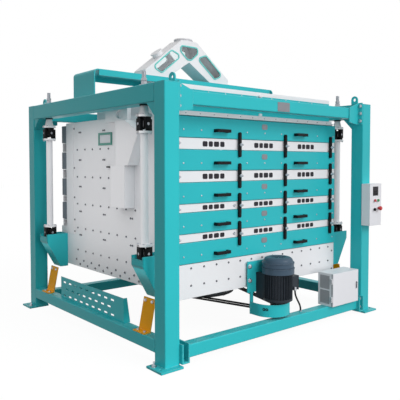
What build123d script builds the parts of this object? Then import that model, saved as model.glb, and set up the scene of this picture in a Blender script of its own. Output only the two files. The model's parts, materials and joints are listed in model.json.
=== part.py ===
from build123d import *
import math
import os

# Square-tube stand. The origin is on the floor at the middle of the stand, the drawer side faces -Y.
frame_width = 2580.0
frame_depth = 2420.0
frame_height = 2100.0
post_size = 135.0
tube_wall = 6.0
tube_corner = 8.0
side_rail_height = 140.0
floor_rail_size = 100.0
side_floor_rail_bottom = 100.0
cross_floor_rail_bottom = 48.0
gusset_length = 105.0
gusset_drop = 105.0
gusset_sheet = 8.0
gusset_inset = 6.0
base_plate_thickness = 16.0
base_plate_out = 68.0
base_plate_front = 46.0
base_plate_in = 9.0
anchor_hole_radius = 11.0
anchor_from_side = 33.0
anchor_from_front = 58.0

# Bolted cross beams between the side frames.
top_beam_height = 105.0
top_beam_depth = 80.0
top_beam_drop = 150.0
end_plate_thickness = 12.0
end_plate_margin = 5.0
bracket_length = 150.0
bracket_below = 55.0
bracket_tip_below = 35.0
bracket_above = 56.0
eye_radius = 37.0
eye_hole_radius = 16.0
eye_rise = 34.0
shoe_length = 70.0
shoe_lip = 24.0
shoe_proud = 30.0

# Feed gantry and the forked feed duct on it.
gantry_inset = 120.0
gantry_depth = 400.0
gantry_centre_y = 220.0
gantry_height = 260.0
gantry_plate = 10.0
gantry_lip = 58.0
gantry_corner = 40.0
duct_depth = 200.0
duct_flange = 12.0
duct_flange_out = 18.0
duct_wall = 5.0
duct_height = 420.0
duct_crotch = 200.0
duct_knee = 70.0
duct_top_half = 100.0
duct_foot_in = 290.0
duct_foot_out = 550.0
inlet_radius = 85.0
inlet_wall = 5.0
inlet_collar = 28.0
inlet_flange_radius = 100.0
inlet_flange_thickness = 12.0
outlet_x = 420.0
outlet_radius = 75.0
outlet_drop = 195.0
window_corner = 24.0
gasket_width = 13.0
gasket_proud = 6.0
pane_thickness = 4.0
stub_radius = 55.0
stub_length = 45.0

# Hanging rods with a cardan joint at each end.
hanger_from_side = 66.0
hanger_from_front = 357.0
pivot_below_rail = 150.0
lower_pivot_z = 811.0
joint_half_height = 54.0
joint_plate_radius = 63.0
joint_plate_thickness = 18.0
block_inner = 29.0
block_outer = 61.0
block_half_width = 26.0
block_tail = 40.0
block_corner = 10.0
trunnion_radius = 12.0
trunnion_reach = 58.0
running_gap = 0.05
cross_hub = 25.0
hanger_tube_radius = 31.0
hanger_tube_wall = 5.0
rod_radius = 16.0
rod_hole_gap = 1.0
rod_above_rail = 115.0
washer_radius = 36.0
washer_thickness = 10.0
nut_radius = 25.0
nut_height = 26.0
lock_nut_radius = 23.0
lock_nut_height = 20.0
lock_nut_gap = 4.0
yoke_low_radius = 44.0
yoke_high_radius = 28.0

# Sieve body: stacked drawers between two side walls.
body_from_post = 85.0
body_from_front = 270.0
back_setback = 40.0
wall_thickness = 6.0
wall_setback = 35.0
wall_back_setback = 160.0
wall_bottom = 487.0
wall_above_panel = 22.0
band_width = 152.0
band_proud = 5.0
drawer_count = 5
panel_thickness = 30.0
panel_bevel = 4.0
panel_below_rail = 72.0
base_top = 689.0
bar_heights = (90.0, 90.0, 66.0, 66.0)
row_gap = 3.0
bar_setback = 8.0
bar_depth = 32.0
tray_depth_height = 80.0
tray_clearance = 4.0
tray_rim = 14.0
tray_sheet = 2.0
runner_width = 30.0
runner_thickness = 6.0
back_bar_inset = 15.0
base_bottom = 410.0
base_plate = 6.0
base_floor = 500.0
lip_height = 36.0
lip_proud = 20.0
hood_setback = 4.0
hood_inset = 100.0
hood_behind_feed = 110.0
hood_rise = 195.0
hood_thickness = 10.0
cover_height = 35.0
cover_sheet = 4.0
cover_inlet_radius = 95.0
cover_ring_height = 14.0

# Clamp bars, their studs, and the pull handles on the drawers.
clamp_from_side = 90.0
clamp_inner_share = 0.27664
clamp_over_panel = 44.0
clamp_width = 30.0
clamp_thickness = 20.0
clamp_gap = 4.0
clamp_bevel = 5.0
stud_radius = 8.0
stud_end = 16.0
stud_nut_radius = 15.0
stud_nut_height = 12.0
stud_nut_gap = 0.5
handle_share = 0.4729
handle_width = 160.0
handle_height = 26.0
handle_reach = 50.0
handle_drop = 23.0
handle_grip = 15.0
handle_foot = 20.0
handle_corner = 12.0

# Brackets that carry the body on the lower joints, and the transport stays under them.
bracket_half_depth = 79.0
bracket_sheet = 8.0
bracket_top_drop = 16.0
bracket_rim_drop = 41.0
bracket_knee_drop = 91.0
bracket_bottom_drop = 351.0
bracket_past_hanger = 72.0
bracket_toe_width = 80.0
shelf_thickness = 10.0
stay_gap = 8.0
stay_width = 154.0
stay_thickness = 8.0
stay_foot = 65.0
stay_lean = 51.0
stay_from_side = 67.0

# Overtails chute and sight window on the left wall.
chute_depth = 100.0
chute_sheet = 4.0
spout_depth = 40.0
spout_y = (-430.0, -65.0)
spout_low = 40.0
spout_rise = 80.0
spout_hole = (120.0, 74.0)
funnel_top_y = (-480.0, -335.0)
funnel_wide_y = -690.0
funnel_wide_drop = 150.0
funnel_low_y = (-530.0, -335.0)
duct_y = (-478.0, -250.0)
duct_top_drop = 420.0
duct_bottom_drop = 780.0
sight_y = (-117.0, 119.0)
sight_top_drop = 124.0
sight_bottom_drop = 238.0
sight_rim = 20.0
sight_proud = 9.0

# Slotted guard on the left floor rail.
guard_y = (-580.0, 560.0)
guard_height = 206.0
guard_sheet = 5.0
guard_inset = 40.0
guard_return = 60.0
slot_length = 58.0
slot_width = 16.0
slot_columns = 9
slot_rows = 3
slot_pitch = 111.0
slot_from_back = 74.0
slot_low = 34.0
slot_rise = 63.0

# Drive: upright motor, belts and the weighted wheel under the body.
motor_out = 193.0
motor_bottom = 295.0
motor_body_top = 542.0
motor_top = 686.0
motor_core_radius = 112.0
motor_fin_height = 16.0
motor_fin_thickness = 5.0
motor_fin_count = 32
cowl_radius = 142.0
cowl_low_height = 50.0
cowl_groove = 7.0
cowl_high_radius = 139.0
cowl_high_height = 42.0
cowl_crown_radius = 92.0
cowl_dish_radius = 66.0
cowl_dish = 4.0
end_shield_height = 30.0
motor_foot_x = 105.0
motor_foot_width = 36.0
motor_foot_z = (312.0, 536.0)
terminal_box_x = (100.0, 210.0)
terminal_box_front = 52.0
terminal_box_back = 53.0
terminal_box_z = (374.0, 498.0)
mount_plate_half = 208.0
mount_plate_thickness = 12.0
mount_plate_z = (360.0, 638.0)
mount_spacer = 17.0
mount_spacer_size = (70.0, 40.0)
mount_spacer_x = 155.0
mount_leg_width = 34.0
mount_leg_inset = 35.0
pan_radius = 170.0
pan_out = 105.0
pan_sheet = 5.0
pan_z = (170.0, 278.0)
wheel_radius = 385.0
pulley_radius = 68.0
belt_z = (215.0, 235.0)
belt_width = 15.0
belt_thickness = 11.0
belt_gap = 0.4
belt_proud = 2.0
groove_slope = 2.5
wheel_rim = 34.0
wheel_z = (196.0, 254.0)
wheel_web = 14.0
wheel_hub_radius = 66.0
spindle_radius = 40.0
bearing_radius = 92.0
bearing_bottom = 270.0
bearing_flange_radius = 170.0
bearing_flange_thickness = 16.0
weight_radii = (150.0, 335.0)
weight_height = 46.0
weight_angle = 150.0
pulley_z = (160.0, 262.0)
motor_shaft_radius = 19.0
motor_shaft_reach = 90.0

# Motor lead, seen from end to end: from the terminal box down to the gland on the front floor rail.
lead_diameter = 13.0
gland_radius = 13.0
gland_length = 32.0
lead_top_x = 155.0
lead_top_out = 63.0
lead_top_z = 372.0
lead_end_x = 298.0
lead_end_in = 68.0
lead_end_z = 160.0
lead_drops = (0.0, 0.11, 0.31, 0.71, 0.90, 1.0)
lead_shares = (0.0, 0.0, 0.19, 0.81, 1.0, 1.0)

# Drive cabinet on the front floor rail and the control box on the front right post.
cabinet_from_post = 109.0
cabinet_width = 406.0
cabinet_height = 312.0
cabinet_overhang = 40.0
cabinet_depth = 175.0
cabinet_sheet = 4.0
door_thickness = 20.0
door_gap = 1.0
knuckle_radius = 8.0
knuckle_length = 34.0
knuckle_gap = 2.0
hinge_pin_radius = 4.0
hinge_from_end = 70.0
lug_thickness = 8.0
lug_gap = 0.4
louvre_depth = 2.0
louvre_margin = 22.0
control_width = 200.0
control_offset = -9.0
control_depth = 95.0
control_z = (887.0, 1303.0)
display_size = (96.0, 91.0)
display_from_top = 28.0
display_depth = 2.0
button_radius = 13.0
button_height = 9.0
button_travel = 4.0
button_from_top = 166.0
button_x = (132.0, 76.0)
bezel_radius = 17.0
bezel_height = 5.0
stem_radius = 8.0
stem_length = 22.0
bore_depth = 32.0
knob_from_top = 255.0
knob_x = 69.0
knob_radius = 14.0
knob_height = 20.0
stop_x = 139.0
stop_from_top = 245.0
stop_radius = 21.0
stop_height = 18.0
stop_stand = 22.0
stop_travel = 6.0

half_w = frame_width / 2
half_d = frame_depth / 2
post_in_x = half_w - post_size
post_in_y = half_d - post_size
rail_bottom = frame_height - side_rail_height
top_beam_bottom = frame_height - top_beam_drop
hanger_x = half_w - hanger_from_side
hanger_y = half_d - hanger_from_front
upper_pivot_z = rail_bottom - pivot_below_rail
shelf_top = lower_pivot_z - joint_half_height
corners = {
    "front_left": (-1, -1),
    "front_right": (1, -1),
    "back_left": (-1, 1),
    "back_right": (1, 1),
}

# The gantry stands on the roof, and the hood of the body reaches just behind its feed spigots.
gantry_half_width = half_w - gantry_inset
gantry_top = frame_height + gantry_height
gantry_front = gantry_centre_y - gantry_depth / 2
gantry_back = gantry_centre_y + gantry_depth / 2
hood_back = gantry_centre_y + hood_behind_feed

# The body hangs clear of the stand, and its walls, brackets and drive follow its sides and its front.
body_half_width = post_in_x - body_from_post
body_front = half_d - body_from_front
body_back = body_front - back_setback
wall_front = body_front - wall_setback
wall_back = body_front - wall_back_setback
band_y = (wall_back - band_width, wall_back)
panel_top = rail_bottom - panel_below_rail
wall_top = panel_top + wall_above_panel
hood_half_width = body_half_width - hood_inset
hood_top = wall_top + hood_rise
bracket_top = lower_pivot_z - bracket_top_drop
bracket_rim_top = lower_pivot_z - bracket_rim_drop
bracket_knee = lower_pivot_z - bracket_knee_drop
bracket_bottom = lower_pivot_z - bracket_bottom_drop
bracket_outer = hanger_x + bracket_past_hanger
bracket_toe = body_half_width + bracket_toe_width
stay_foot_x = half_w - stay_from_side
spout_z = (wall_top - spout_low, wall_top + spout_rise)
funnel_wide_z = wall_top - funnel_wide_drop
duct_z = (wall_top - duct_bottom_drop, wall_top - duct_top_drop)
sight_z = (wall_top - sight_bottom_drop, wall_top - sight_top_drop)
motor_y = -body_front - motor_out
pan_y = -body_front - pan_out
terminal_box_y = (motor_y - terminal_box_front, motor_y + terminal_box_back)
cabinet_x = (post_in_x - cabinet_from_post - cabinet_width, post_in_x - cabinet_from_post)

# Rows of the drawer side, from the top down: the drawers share the height that the bars leave.
rows_height = panel_top - base_top - sum(bar_heights) - (2 * drawer_count - 1) * row_gap
panel_height = rows_height / drawer_count
panel_z = []
bar_z = []
row_top = panel_top
for row in range(drawer_count):
    panel_z.append((row_top - panel_height, row_top))
    row_top -= panel_height + row_gap
    if row < drawer_count - 1:
        bar_z.append((row_top - bar_heights[row], row_top))
        row_top -= bar_heights[row] + row_gap
clamp_length = panel_height + clamp_over_panel
clamp_outer_x = body_half_width - clamp_from_side
clamp_inner_x = body_half_width * clamp_inner_share
clamp_columns = (-clamp_outer_x, -clamp_inner_x, clamp_inner_x, clamp_outer_x)
handle_x = body_half_width * handle_share

# Points of the motor lead, from the terminal box to the floor rail.
lead_top = (lead_top_x, motor_y - lead_top_out, lead_top_z)
lead_end = (lead_end_x, -half_d + lead_end_in, lead_end_z)
lead_points = []
for along, down in zip(lead_shares, lead_drops):
    lead_points.append((
        lead_top[0] + (lead_end[0] - lead_top[0]) * along,
        lead_top[1] + (lead_end[1] - lead_top[1]) * along,
        lead_top[2] + (lead_end[2] - lead_top[2]) * down,
    ))


def block(x, y, z):
    """A box between two limits along each axis."""
    size = Box(x[1] - x[0], y[1] - y[0], z[1] - z[0])
    return Pos((x[0] + x[1]) / 2, (y[0] + y[1]) / 2, (z[0] + z[1]) / 2) * size


def disc(radius, z, x=0.0, y=0.0):
    """An upright cylinder between two heights."""
    return Pos(x, y, (z[0] + z[1]) / 2) * Cylinder(radius, z[1] - z[0])


def peg(radius, y, x, z):
    """A cylinder along Y."""
    return Pos(x, (y[0] + y[1]) / 2, z) * Rot(90, 0, 0) * Cylinder(radius, y[1] - y[0])


def plate_xz(face, y):
    """A flat outline drawn in X and Z, given a thickness along Y."""
    return Pos(0, y[0], 0) * extrude(Plane.XZ * face, amount=y[1] - y[0], dir=(0, 1, 0))


def plate_yz(face, x):
    """A flat outline drawn in Y and Z, given a thickness along X."""
    return Pos(x[0], 0, 0) * extrude(Plane.YZ * face, amount=x[1] - x[0], dir=(1, 0, 0))


def box_tube(width, height, length):
    """A hollow rectangular tube along Z, with rounded edges."""
    outer = RectangleRounded(width, height, tube_corner)
    inner = Rectangle(width - 2 * tube_wall, height - 2 * tube_wall)
    return extrude(outer - inner, amount=length)


def tube_y(width, height, x, y, z):
    """A box tube along Y whose middle runs through x and z."""
    return Pos(x, y[1], z) * Rot(90, 0, 0) * box_tube(width, height, y[1] - y[0])


def tube_x(depth, height, x, y, z):
    """A box tube along X whose middle runs through y and z."""
    return Pos(x[0], y, z) * Rot(0, 90, 0) * box_tube(height, depth, x[1] - x[0])


def both_sides(solids):
    """The given left-hand solids and their mirror images."""
    return list(solids) + [mirror(solid, about=Plane.YZ) for solid in solids]


def save(name, solids):
    """Write one named sub-part."""
    loose = [piece for solid in solids for piece in solid.solids()]
    export_step(Compound(children=loose), f"parts/{name}.step")


def span(first, second):
    """Two numbers in rising order."""
    return (min(first, second), max(first, second))


def corner_posts():
    """Four tube posts with top caps and drilled base plates."""
    solids = []
    for sx, sy in corners.values():
        x = sx * (half_w - post_size / 2)
        y = sy * (half_d - post_size / 2)
        tube_length = frame_height - base_plate_thickness - tube_wall
        solids.append(Pos(x, y, base_plate_thickness) * box_tube(post_size, post_size, tube_length))
        cap = RectangleRounded(post_size, post_size, tube_corner)
        solids.append(Pos(x, y, frame_height - tube_wall) * extrude(cap, amount=tube_wall))
        plate_x = span(sx * post_in_x, sx * (half_w + base_plate_out))
        plate_y = span(sy * (post_in_y - base_plate_in), sy * (half_d + base_plate_front))
        hole_x = sx * (half_w + base_plate_out - anchor_from_side)
        hole_y = sy * (half_d + base_plate_front - anchor_from_front)
        plate = block(plate_x, plate_y, (0, base_plate_thickness))
        solids.append(plate - disc(anchor_hole_radius, (0, base_plate_thickness), hole_x, hole_y))
    return solids


def side_top_rails():
    """Side rails with the holes for the hanging rods, and corner gussets."""
    x = half_w - post_size / 2
    middle_z = frame_height - side_rail_height / 2
    rail = tube_y(post_size, side_rail_height, -x, (-post_in_y, post_in_y), middle_z)
    for y in (-hanger_y, hanger_y):
        rail -= disc(rod_radius + rod_hole_gap, (rail_bottom, frame_height), -hanger_x, y)
    front = corner_gusset()
    return both_sides([rail, front, mirror(front, about=Plane.XZ)])


def corner_gusset():
    """Folded box gusset in the corner between the front left post and its side rail."""
    sides = (-half_w + gusset_inset, -post_in_x - gusset_inset)
    outline = Polygon(
        (-post_in_y, rail_bottom),
        (-post_in_y, rail_bottom - gusset_drop),
        (-post_in_y + gusset_length, rail_bottom),
    )
    short = 1.5 * gusset_sheet
    room = Polygon(
        (-post_in_y, rail_bottom),
        (-post_in_y, rail_bottom - gusset_drop + short),
        (-post_in_y + gusset_length - short, rail_bottom),
    )
    clear = (sides[0] + gusset_sheet, sides[1] - gusset_sheet)
    return plate_yz(outline, sides) - plate_yz(room, clear)


def beam_end(x_face):
    """End plate with a lifting eye, and the haunch plate that carries the beam."""
    top = top_beam_bottom + top_beam_height + bracket_above
    low = top_beam_bottom - bracket_below
    middle_y = -half_d + post_size - top_beam_depth / 2
    edge_y = (-half_d + end_plate_margin, -post_in_y - end_plate_margin)
    eye_z = top + eye_rise
    plate = Polygon((edge_y[0], low), (edge_y[1], low), (edge_y[1], top), (edge_y[0], top))
    plate += Pos(middle_y, (top + eye_z) / 2) * Rectangle(2 * eye_radius, eye_rise)
    plate += Pos(middle_y, eye_z) * Circle(eye_radius)
    plate -= Pos(middle_y, eye_z) * Circle(eye_hole_radius)
    x_in = x_face + end_plate_thickness
    x_end = x_in + bracket_length
    beam_top = top_beam_bottom + top_beam_height
    edges = Polyline(
        (x_end, top_beam_bottom - bracket_tip_below),
        (x_end, beam_top),
        (x_in, top),
        (x_in, low),
    )
    bow = ThreePointArc(
        (x_in, low),
        (x_in + bracket_length / 2, low + (bracket_below - bracket_tip_below) / 4),
        (x_end, top_beam_bottom - bracket_tip_below),
    )
    front_y = -half_d + post_size - top_beam_depth
    haunch = plate_xz(make_face([*edges.edges(), bow]), (front_y - end_plate_thickness, front_y))
    return plate_yz(plate, (x_face, x_in)) + haunch


def top_rails():
    """Side rails and the two bolted cross beams of the roof ring."""
    reach = post_in_x - end_plate_thickness
    middle_y = -half_d + post_size - top_beam_depth / 2
    beam_z = top_beam_bottom + top_beam_height / 2
    beam = tube_x(top_beam_depth, top_beam_height, (-reach, reach), middle_y, beam_z)
    left = beam_end(-post_in_x)
    front = [beam, left, mirror(left, about=Plane.YZ)]
    return side_top_rails() + front + [mirror(solid, about=Plane.XZ) for solid in front]


def floor_shoe(x_face):
    """Open-fronted shoe that bolts a floor cross rail to a post."""
    x_end = x_face + shoe_length
    rail_top = cross_floor_rail_bottom + floor_rail_size
    z = (cross_floor_rail_bottom - shoe_lip, rail_top + shoe_lip)
    y = (-half_d - shoe_proud, -half_d + floor_rail_size)
    outside = block((x_face, x_end), y, z)
    pocket_x = (x_face + end_plate_thickness, x_end - end_plate_thickness)
    pocket = block(pocket_x, (y[0], y[1] - end_plate_thickness), (z[0] + end_plate_thickness, z[1]))
    return outside - pocket


def bottom_rails():
    """Floor-level rails: one per side, and a bolted one front and back."""
    half = floor_rail_size / 2
    size = floor_rail_size
    side_z = side_floor_rail_bottom + half
    side = tube_y(size, size, -half_w + half, (-post_in_y, post_in_y), side_z)
    reach = post_in_x - shoe_length
    cross = tube_x(size, size, (-reach, reach), -half_d + half, cross_floor_rail_bottom + half)
    shoe = floor_shoe(-post_in_x)
    front = [cross, shoe, mirror(shoe, about=Plane.YZ)]
    gland_z = (cross_floor_rail_bottom + floor_rail_size, lead_points[-1][2])
    gland = disc(gland_radius, gland_z, lead_points[-1][0], lead_points[-1][1])
    return both_sides([side]) + front + [mirror(solid, about=Plane.XZ) for solid in front] + [gland]


def feed_gantry():
    """Bent plate portal that carries the feed duct across the roof."""
    inside = gantry_half_width - gantry_plate
    outer = Pos(0, frame_height + gantry_height / 2) * Rectangle(2 * gantry_half_width, gantry_height)
    outer = fillet(outer.vertices().group_by(Axis.Y)[-1], gantry_corner)
    inner_height = gantry_height - gantry_plate
    inner = Pos(0, frame_height + inner_height / 2) * Rectangle(2 * inside, inner_height)
    inner = fillet(inner.vertices().group_by(Axis.Y)[-1], gantry_corner - gantry_plate)
    portal = plate_xz(outer - inner, (gantry_front, gantry_back))
    lip_x = inside - gantry_corner
    lip_z = (gantry_top - gantry_lip, gantry_top - gantry_plate)
    portal += block((-lip_x, lip_x), (gantry_front, gantry_front + gantry_plate), lip_z)
    portal += block((-lip_x, lip_x), (gantry_back - gantry_plate, gantry_back), lip_z)
    for x in (-outlet_x, outlet_x):
        hole_z = (gantry_top - gantry_plate, gantry_top)
        portal -= disc(outlet_radius + rod_hole_gap, hole_z, x, gantry_centre_y)
    return [portal]


def duct_outline():
    """Corners of the right half of the fork, from the roof of the duct to its crotch."""
    top = gantry_top + duct_height
    return [
        (duct_top_half, top),
        (duct_foot_out, gantry_top + duct_knee),
        (duct_foot_out, gantry_top + duct_flange),
        (duct_foot_in, gantry_top + duct_flange),
        (0, gantry_top + duct_crotch),
    ]


def inset_corner(before, corner, after, distance):
    """The corner of an outline moved inwards, square to both of its edges."""
    first = Vector(corner[0] - before[0], corner[1] - before[1]).normalized()
    second = Vector(after[0] - corner[0], after[1] - corner[1]).normalized()
    turn = Vector(first.Y + second.Y, -first.X - second.X)
    share = distance / (1 + first.dot(second))
    return (corner[0] + turn.X * share, corner[1] + turn.Y * share)


def sheet_strip(outline, index, sheet):
    """One mitred sheet of a folded duct, along one edge of its outline."""
    count = len(outline)
    start, end = outline[index], outline[(index + 1) % count]
    inner_start = inset_corner(outline[index - 1], start, end, sheet)
    inner_end = inset_corner(start, end, outline[(index + 2) % count], sheet)
    return Polygon(start, end, inner_end, inner_start)


def window_faces():
    """Outlines of the three sight windows of the fork."""
    top = gantry_top + duct_height
    crotch = gantry_top + duct_crotch
    knee = gantry_top + duct_knee
    g = gasket_width
    half = duct_top_half + g / 2
    apex = Polygon(
        (-half, top - 5 * g),
        (half, top - 5 * g),
        (half, top - 9 * g),
        (1.8 * g, crotch + 2.5 * g),
        (-1.8 * g, crotch + 2.5 * g),
        (-half, top - 9 * g),
    )
    leg = Polygon(
        (duct_top_half + 1.4 * g, crotch + 4 * g),
        (duct_top_half + 9.8 * g, crotch + 7 * g),
        (duct_foot_out - 7.7 * g, knee + 2.9 * g),
        (duct_foot_in + 4.9 * g, knee - 0.4 * g),
    )
    apex = fillet(apex.vertices(), window_corner)
    leg = fillet(leg.vertices(), window_corner)
    return [apex, leg, mirror(leg, about=Plane.YZ)]


def feed_distributor():
    """White forked duct with an inlet collar, gaskets round its windows and two outlet spigots."""
    right = duct_outline()
    left = [(-x, z) for x, z in right[-2::-1]]
    outline = right + left
    front = gantry_centre_y - duct_depth / 2
    back = gantry_centre_y + duct_depth / 2
    cheek = Polygon(*outline)
    for face in window_faces():
        cheek -= face
    solids = [plate_xz(cheek, (front, front + duct_wall)), plate_xz(cheek, (back - duct_wall, back))]
    inlet = disc(inlet_radius, (gantry_top, gantry_top + duct_height), 0, gantry_centre_y)
    open_edges = (2, len(outline) - 4)
    for index in range(len(outline)):
        if index not in open_edges:
            strip = plate_xz(sheet_strip(outline, index, duct_wall), (front + duct_wall, back - duct_wall))
            solids.append(strip - inlet if index == len(outline) - 1 else strip)
    top = gantry_top + duct_height
    collar = disc(inlet_radius + inlet_wall, (top, top + inlet_collar), 0, gantry_centre_y)
    flange_z = (top + inlet_collar - inlet_flange_thickness, top + inlet_collar)
    collar += disc(inlet_flange_radius, flange_z, 0, gantry_centre_y)
    solids.append(collar - disc(inlet_radius, (top, top + inlet_collar), 0, gantry_centre_y))
    for face in window_faces():
        rim = offset(face, gasket_width) - face
        solids.append(plate_xz(rim, (front - gasket_proud, front)))
        solids.append(plate_xz(rim, (back, back + gasket_proud)))
    for x in (-outlet_x, outlet_x):
        solids.extend(outlet_foot(x))
    solids.append(aspiration_stub())
    return solids


def outlet_foot(x):
    """Foot flange of one leg, and the round spigot that goes down through the gantry."""
    out = duct_flange_out
    half = (duct_foot_out - duct_foot_in) / 2 + out
    deep = duct_depth / 2 + out
    flange_z = (gantry_top, gantry_top + duct_flange)
    y = gantry_centre_y
    flange = block((x - half, x + half), (y - deep, y + deep), flange_z)
    bore = outlet_radius - duct_wall
    spigot_z = (gantry_top - outlet_drop, gantry_top)
    spigot = disc(outlet_radius, spigot_z, x, y) - disc(bore, spigot_z, x, y)
    return [flange - disc(bore, flange_z, x, y), spigot]


def aspiration_stub():
    """Short capped stub on the outer slope of the left leg."""
    high, low = duct_outline()[0], duct_outline()[1]
    middle = ((high[0] + low[0]) / 2, (high[1] + low[1]) / 2)
    slope = math.degrees(math.atan2(high[1] - low[1], low[0] - high[0]))
    stub = Cylinder(stub_radius, stub_length, align=(Align.CENTER, Align.CENTER, Align.MIN))
    cap_radius = stub_radius + duct_wall * 2
    stub += disc(cap_radius, (stub_length - inlet_flange_thickness, stub_length))
    return Pos(-middle[0], gantry_centre_y, middle[1]) * Rot(0, -slope, 0) * stub


def distributor_windows():
    """Clear panes of the forked duct."""
    front = gantry_centre_y - duct_depth / 2
    back = gantry_centre_y + duct_depth / 2
    panes = []
    for face in window_faces():
        panes.append(plate_xz(face, (front, front + pane_thickness)))
        panes.append(plate_xz(face, (back - pane_thickness, back)))
    return panes


def bearing_block(side, along_x, up):
    """One rubber bearing block round a trunnion, on the plate above (up = 1) or below (up = -1)."""
    height = joint_half_height + block_tail
    face = Pos(0, up * (joint_half_height - block_tail) / 2) * Rectangle(2 * block_half_width, height)
    tail = face.vertices().group_by(Axis.Y)[0 if up > 0 else -1]
    face = fillet(tail, block_corner) - Circle(trunnion_radius + running_gap)
    solid = plate_xz(face, span(side * block_inner, side * block_outer))
    if along_x:
        solid = Rot(0, 0, 90) * solid
    return solid & Cylinder(joint_plate_radius - 1, 4 * joint_half_height)


def cardan_cross(x, y, z):
    """Four-armed cross of a cardan joint."""
    arm = Cylinder(trunnion_radius, 2 * trunnion_reach)
    hub = fillet(Box(2 * cross_hub, 2 * cross_hub, 2 * cross_hub).edges(), cross_hub / 3)
    return [Pos(x, y, z) * (hub + Rot(90, 0, 0) * arm + Rot(0, 90, 0) * arm)]


def hanger_heads():
    """Threaded rods through the side rails, with yoke, joint plate and the fixed bearing blocks."""
    solids = []
    plate_z = upper_pivot_z + joint_half_height
    yoke_z = plate_z + joint_plate_thickness
    washer_z = rail_bottom - washer_thickness
    for sx, sy in corners.values():
        x, y = sx * hanger_x, sy * hanger_y
        head = disc(joint_plate_radius, (plate_z, yoke_z), x, y)
        yoke_height = washer_z - yoke_z
        head += Pos(x, y, (yoke_z + washer_z) / 2) * Cone(yoke_low_radius, yoke_high_radius, yoke_height)
        head += disc(washer_radius, (washer_z, rail_bottom), x, y)
        head += disc(rod_radius, (rail_bottom, frame_height + rod_above_rail), x, y)
        head += disc(washer_radius, (frame_height, frame_height + washer_thickness), x, y)
        nut = extrude(RegularPolygon(nut_radius, 6), amount=nut_height)
        head += Pos(x, y, frame_height + washer_thickness) * nut
        lock_nut = extrude(RegularPolygon(lock_nut_radius, 6), amount=lock_nut_height)
        lock_z = frame_height + washer_thickness + nut_height + lock_nut_gap
        head += Pos(x, y, lock_z) * Rot(0, 0, 20) * lock_nut
        solids.append(head)
        for side in (-1, 1):
            solids.append(Pos(x, y, upper_pivot_z) * bearing_block(side, False, 1))
    return solids


def hanger(x, y):
    """White hanger tube with a joint plate and two bearing blocks at each end."""
    plate_high = upper_pivot_z - joint_half_height
    plate_low = lower_pivot_z + joint_half_height
    tube_z = (plate_low + joint_plate_thickness, plate_high - joint_plate_thickness)
    bore = hanger_tube_radius - hanger_tube_wall
    solids = [disc(hanger_tube_radius, tube_z, x, y) - disc(bore, tube_z, x, y)]
    solids.append(disc(joint_plate_radius, (tube_z[1], plate_high), x, y))
    solids.append(disc(joint_plate_radius, (plate_low, tube_z[0]), x, y))
    for side in (-1, 1):
        solids.append(Pos(x, y, upper_pivot_z) * bearing_block(side, True, -1))
        solids.append(Pos(x, y, lower_pivot_z) * bearing_block(side, True, 1))
    return solids


def lower_bearing_blocks():
    """Bearing blocks on the shelves of the body brackets."""
    solids = []
    for sx, sy in corners.values():
        for side in (-1, 1):
            solids.append(Pos(sx * hanger_x, sy * hanger_y, lower_pivot_z) * bearing_block(side, False, -1))
    return solids


def hanger_brackets():
    """Four tapered sheet brackets with a shelf for the lower joints."""
    inner = body_half_width
    outline = Polygon(
        (inner, bracket_bottom),
        (inner, bracket_top),
        (bracket_outer, bracket_top),
        (bracket_outer, bracket_knee),
        (bracket_toe, bracket_bottom),
    )
    depth = (-bracket_half_depth, bracket_half_depth)
    clear = (-bracket_half_depth + bracket_sheet, bracket_half_depth - bracket_sheet)
    shell = plate_xz(outline, depth)
    wall_x = inner + bracket_sheet
    shell -= block((wall_x, bracket_outer - bracket_sheet), clear, (shelf_top, bracket_top))
    shell -= block((bracket_outer - bracket_sheet, bracket_outer), clear, (bracket_rim_top, bracket_top))
    slope = (bracket_outer - bracket_toe) / (bracket_knee - bracket_bottom)
    cavity = Polygon(
        (wall_x, bracket_bottom),
        (wall_x, shelf_top - shelf_thickness),
        (bracket_outer - bracket_sheet, shelf_top - shelf_thickness),
        (bracket_outer - bracket_sheet, bracket_knee + bracket_sheet * slope),
        (bracket_toe - bracket_sheet, bracket_bottom),
    )
    shell -= plate_xz(cavity, clear)
    right = [Pos(0, sy * hanger_y, 0) * shell for sy in (-1, 1)]
    return both_sides(right)


def transport_stays():
    """Leaning stays on the side floor rails that hold the body while it is carried."""
    foot_z = side_floor_rail_bottom + floor_rail_size
    top_z = bracket_bottom - stay_gap
    low_x = (stay_foot_x, stay_foot_x + stay_thickness)
    leaf = Polygon(
        (low_x[0], foot_z),
        (low_x[1], foot_z),
        (low_x[1] - stay_lean, top_z),
        (low_x[0] - stay_lean, top_z),
    )
    width = (-stay_width / 2, stay_width / 2)
    foot = block((low_x[0], low_x[0] + stay_foot), width, (foot_z, foot_z + stay_thickness))
    stay = plate_xz(leaf, width) + foot
    return both_sides([Pos(0, sy * hanger_y, 0) * stay for sy in (-1, 1)])


def side_walls():
    """Side sheets of the body with a runner under each drawer tray."""
    step_z = panel_z[-1][1]
    sheet = Polygon(
        (-wall_front, wall_bottom),
        (wall_front, wall_bottom),
        (wall_front, step_z),
        (wall_back, step_z),
        (wall_back, wall_top),
        (-wall_front, wall_top),
    )
    inner = body_half_width - wall_thickness
    wall = plate_yz(sheet, (-body_half_width, -inner))
    band_x = (-body_half_width - band_proud, -body_half_width)
    wall += block(band_x, band_y, (bracket_top + row_gap, wall_top))
    for low, high in panel_z:
        tray_low = (low + high - tray_depth_height) / 2
        runner_y = (-wall_front, wall_back)
        wall += block((-inner, -inner + runner_width), runner_y, (tray_low - runner_thickness, tray_low))
    return both_sides([wall])


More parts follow.
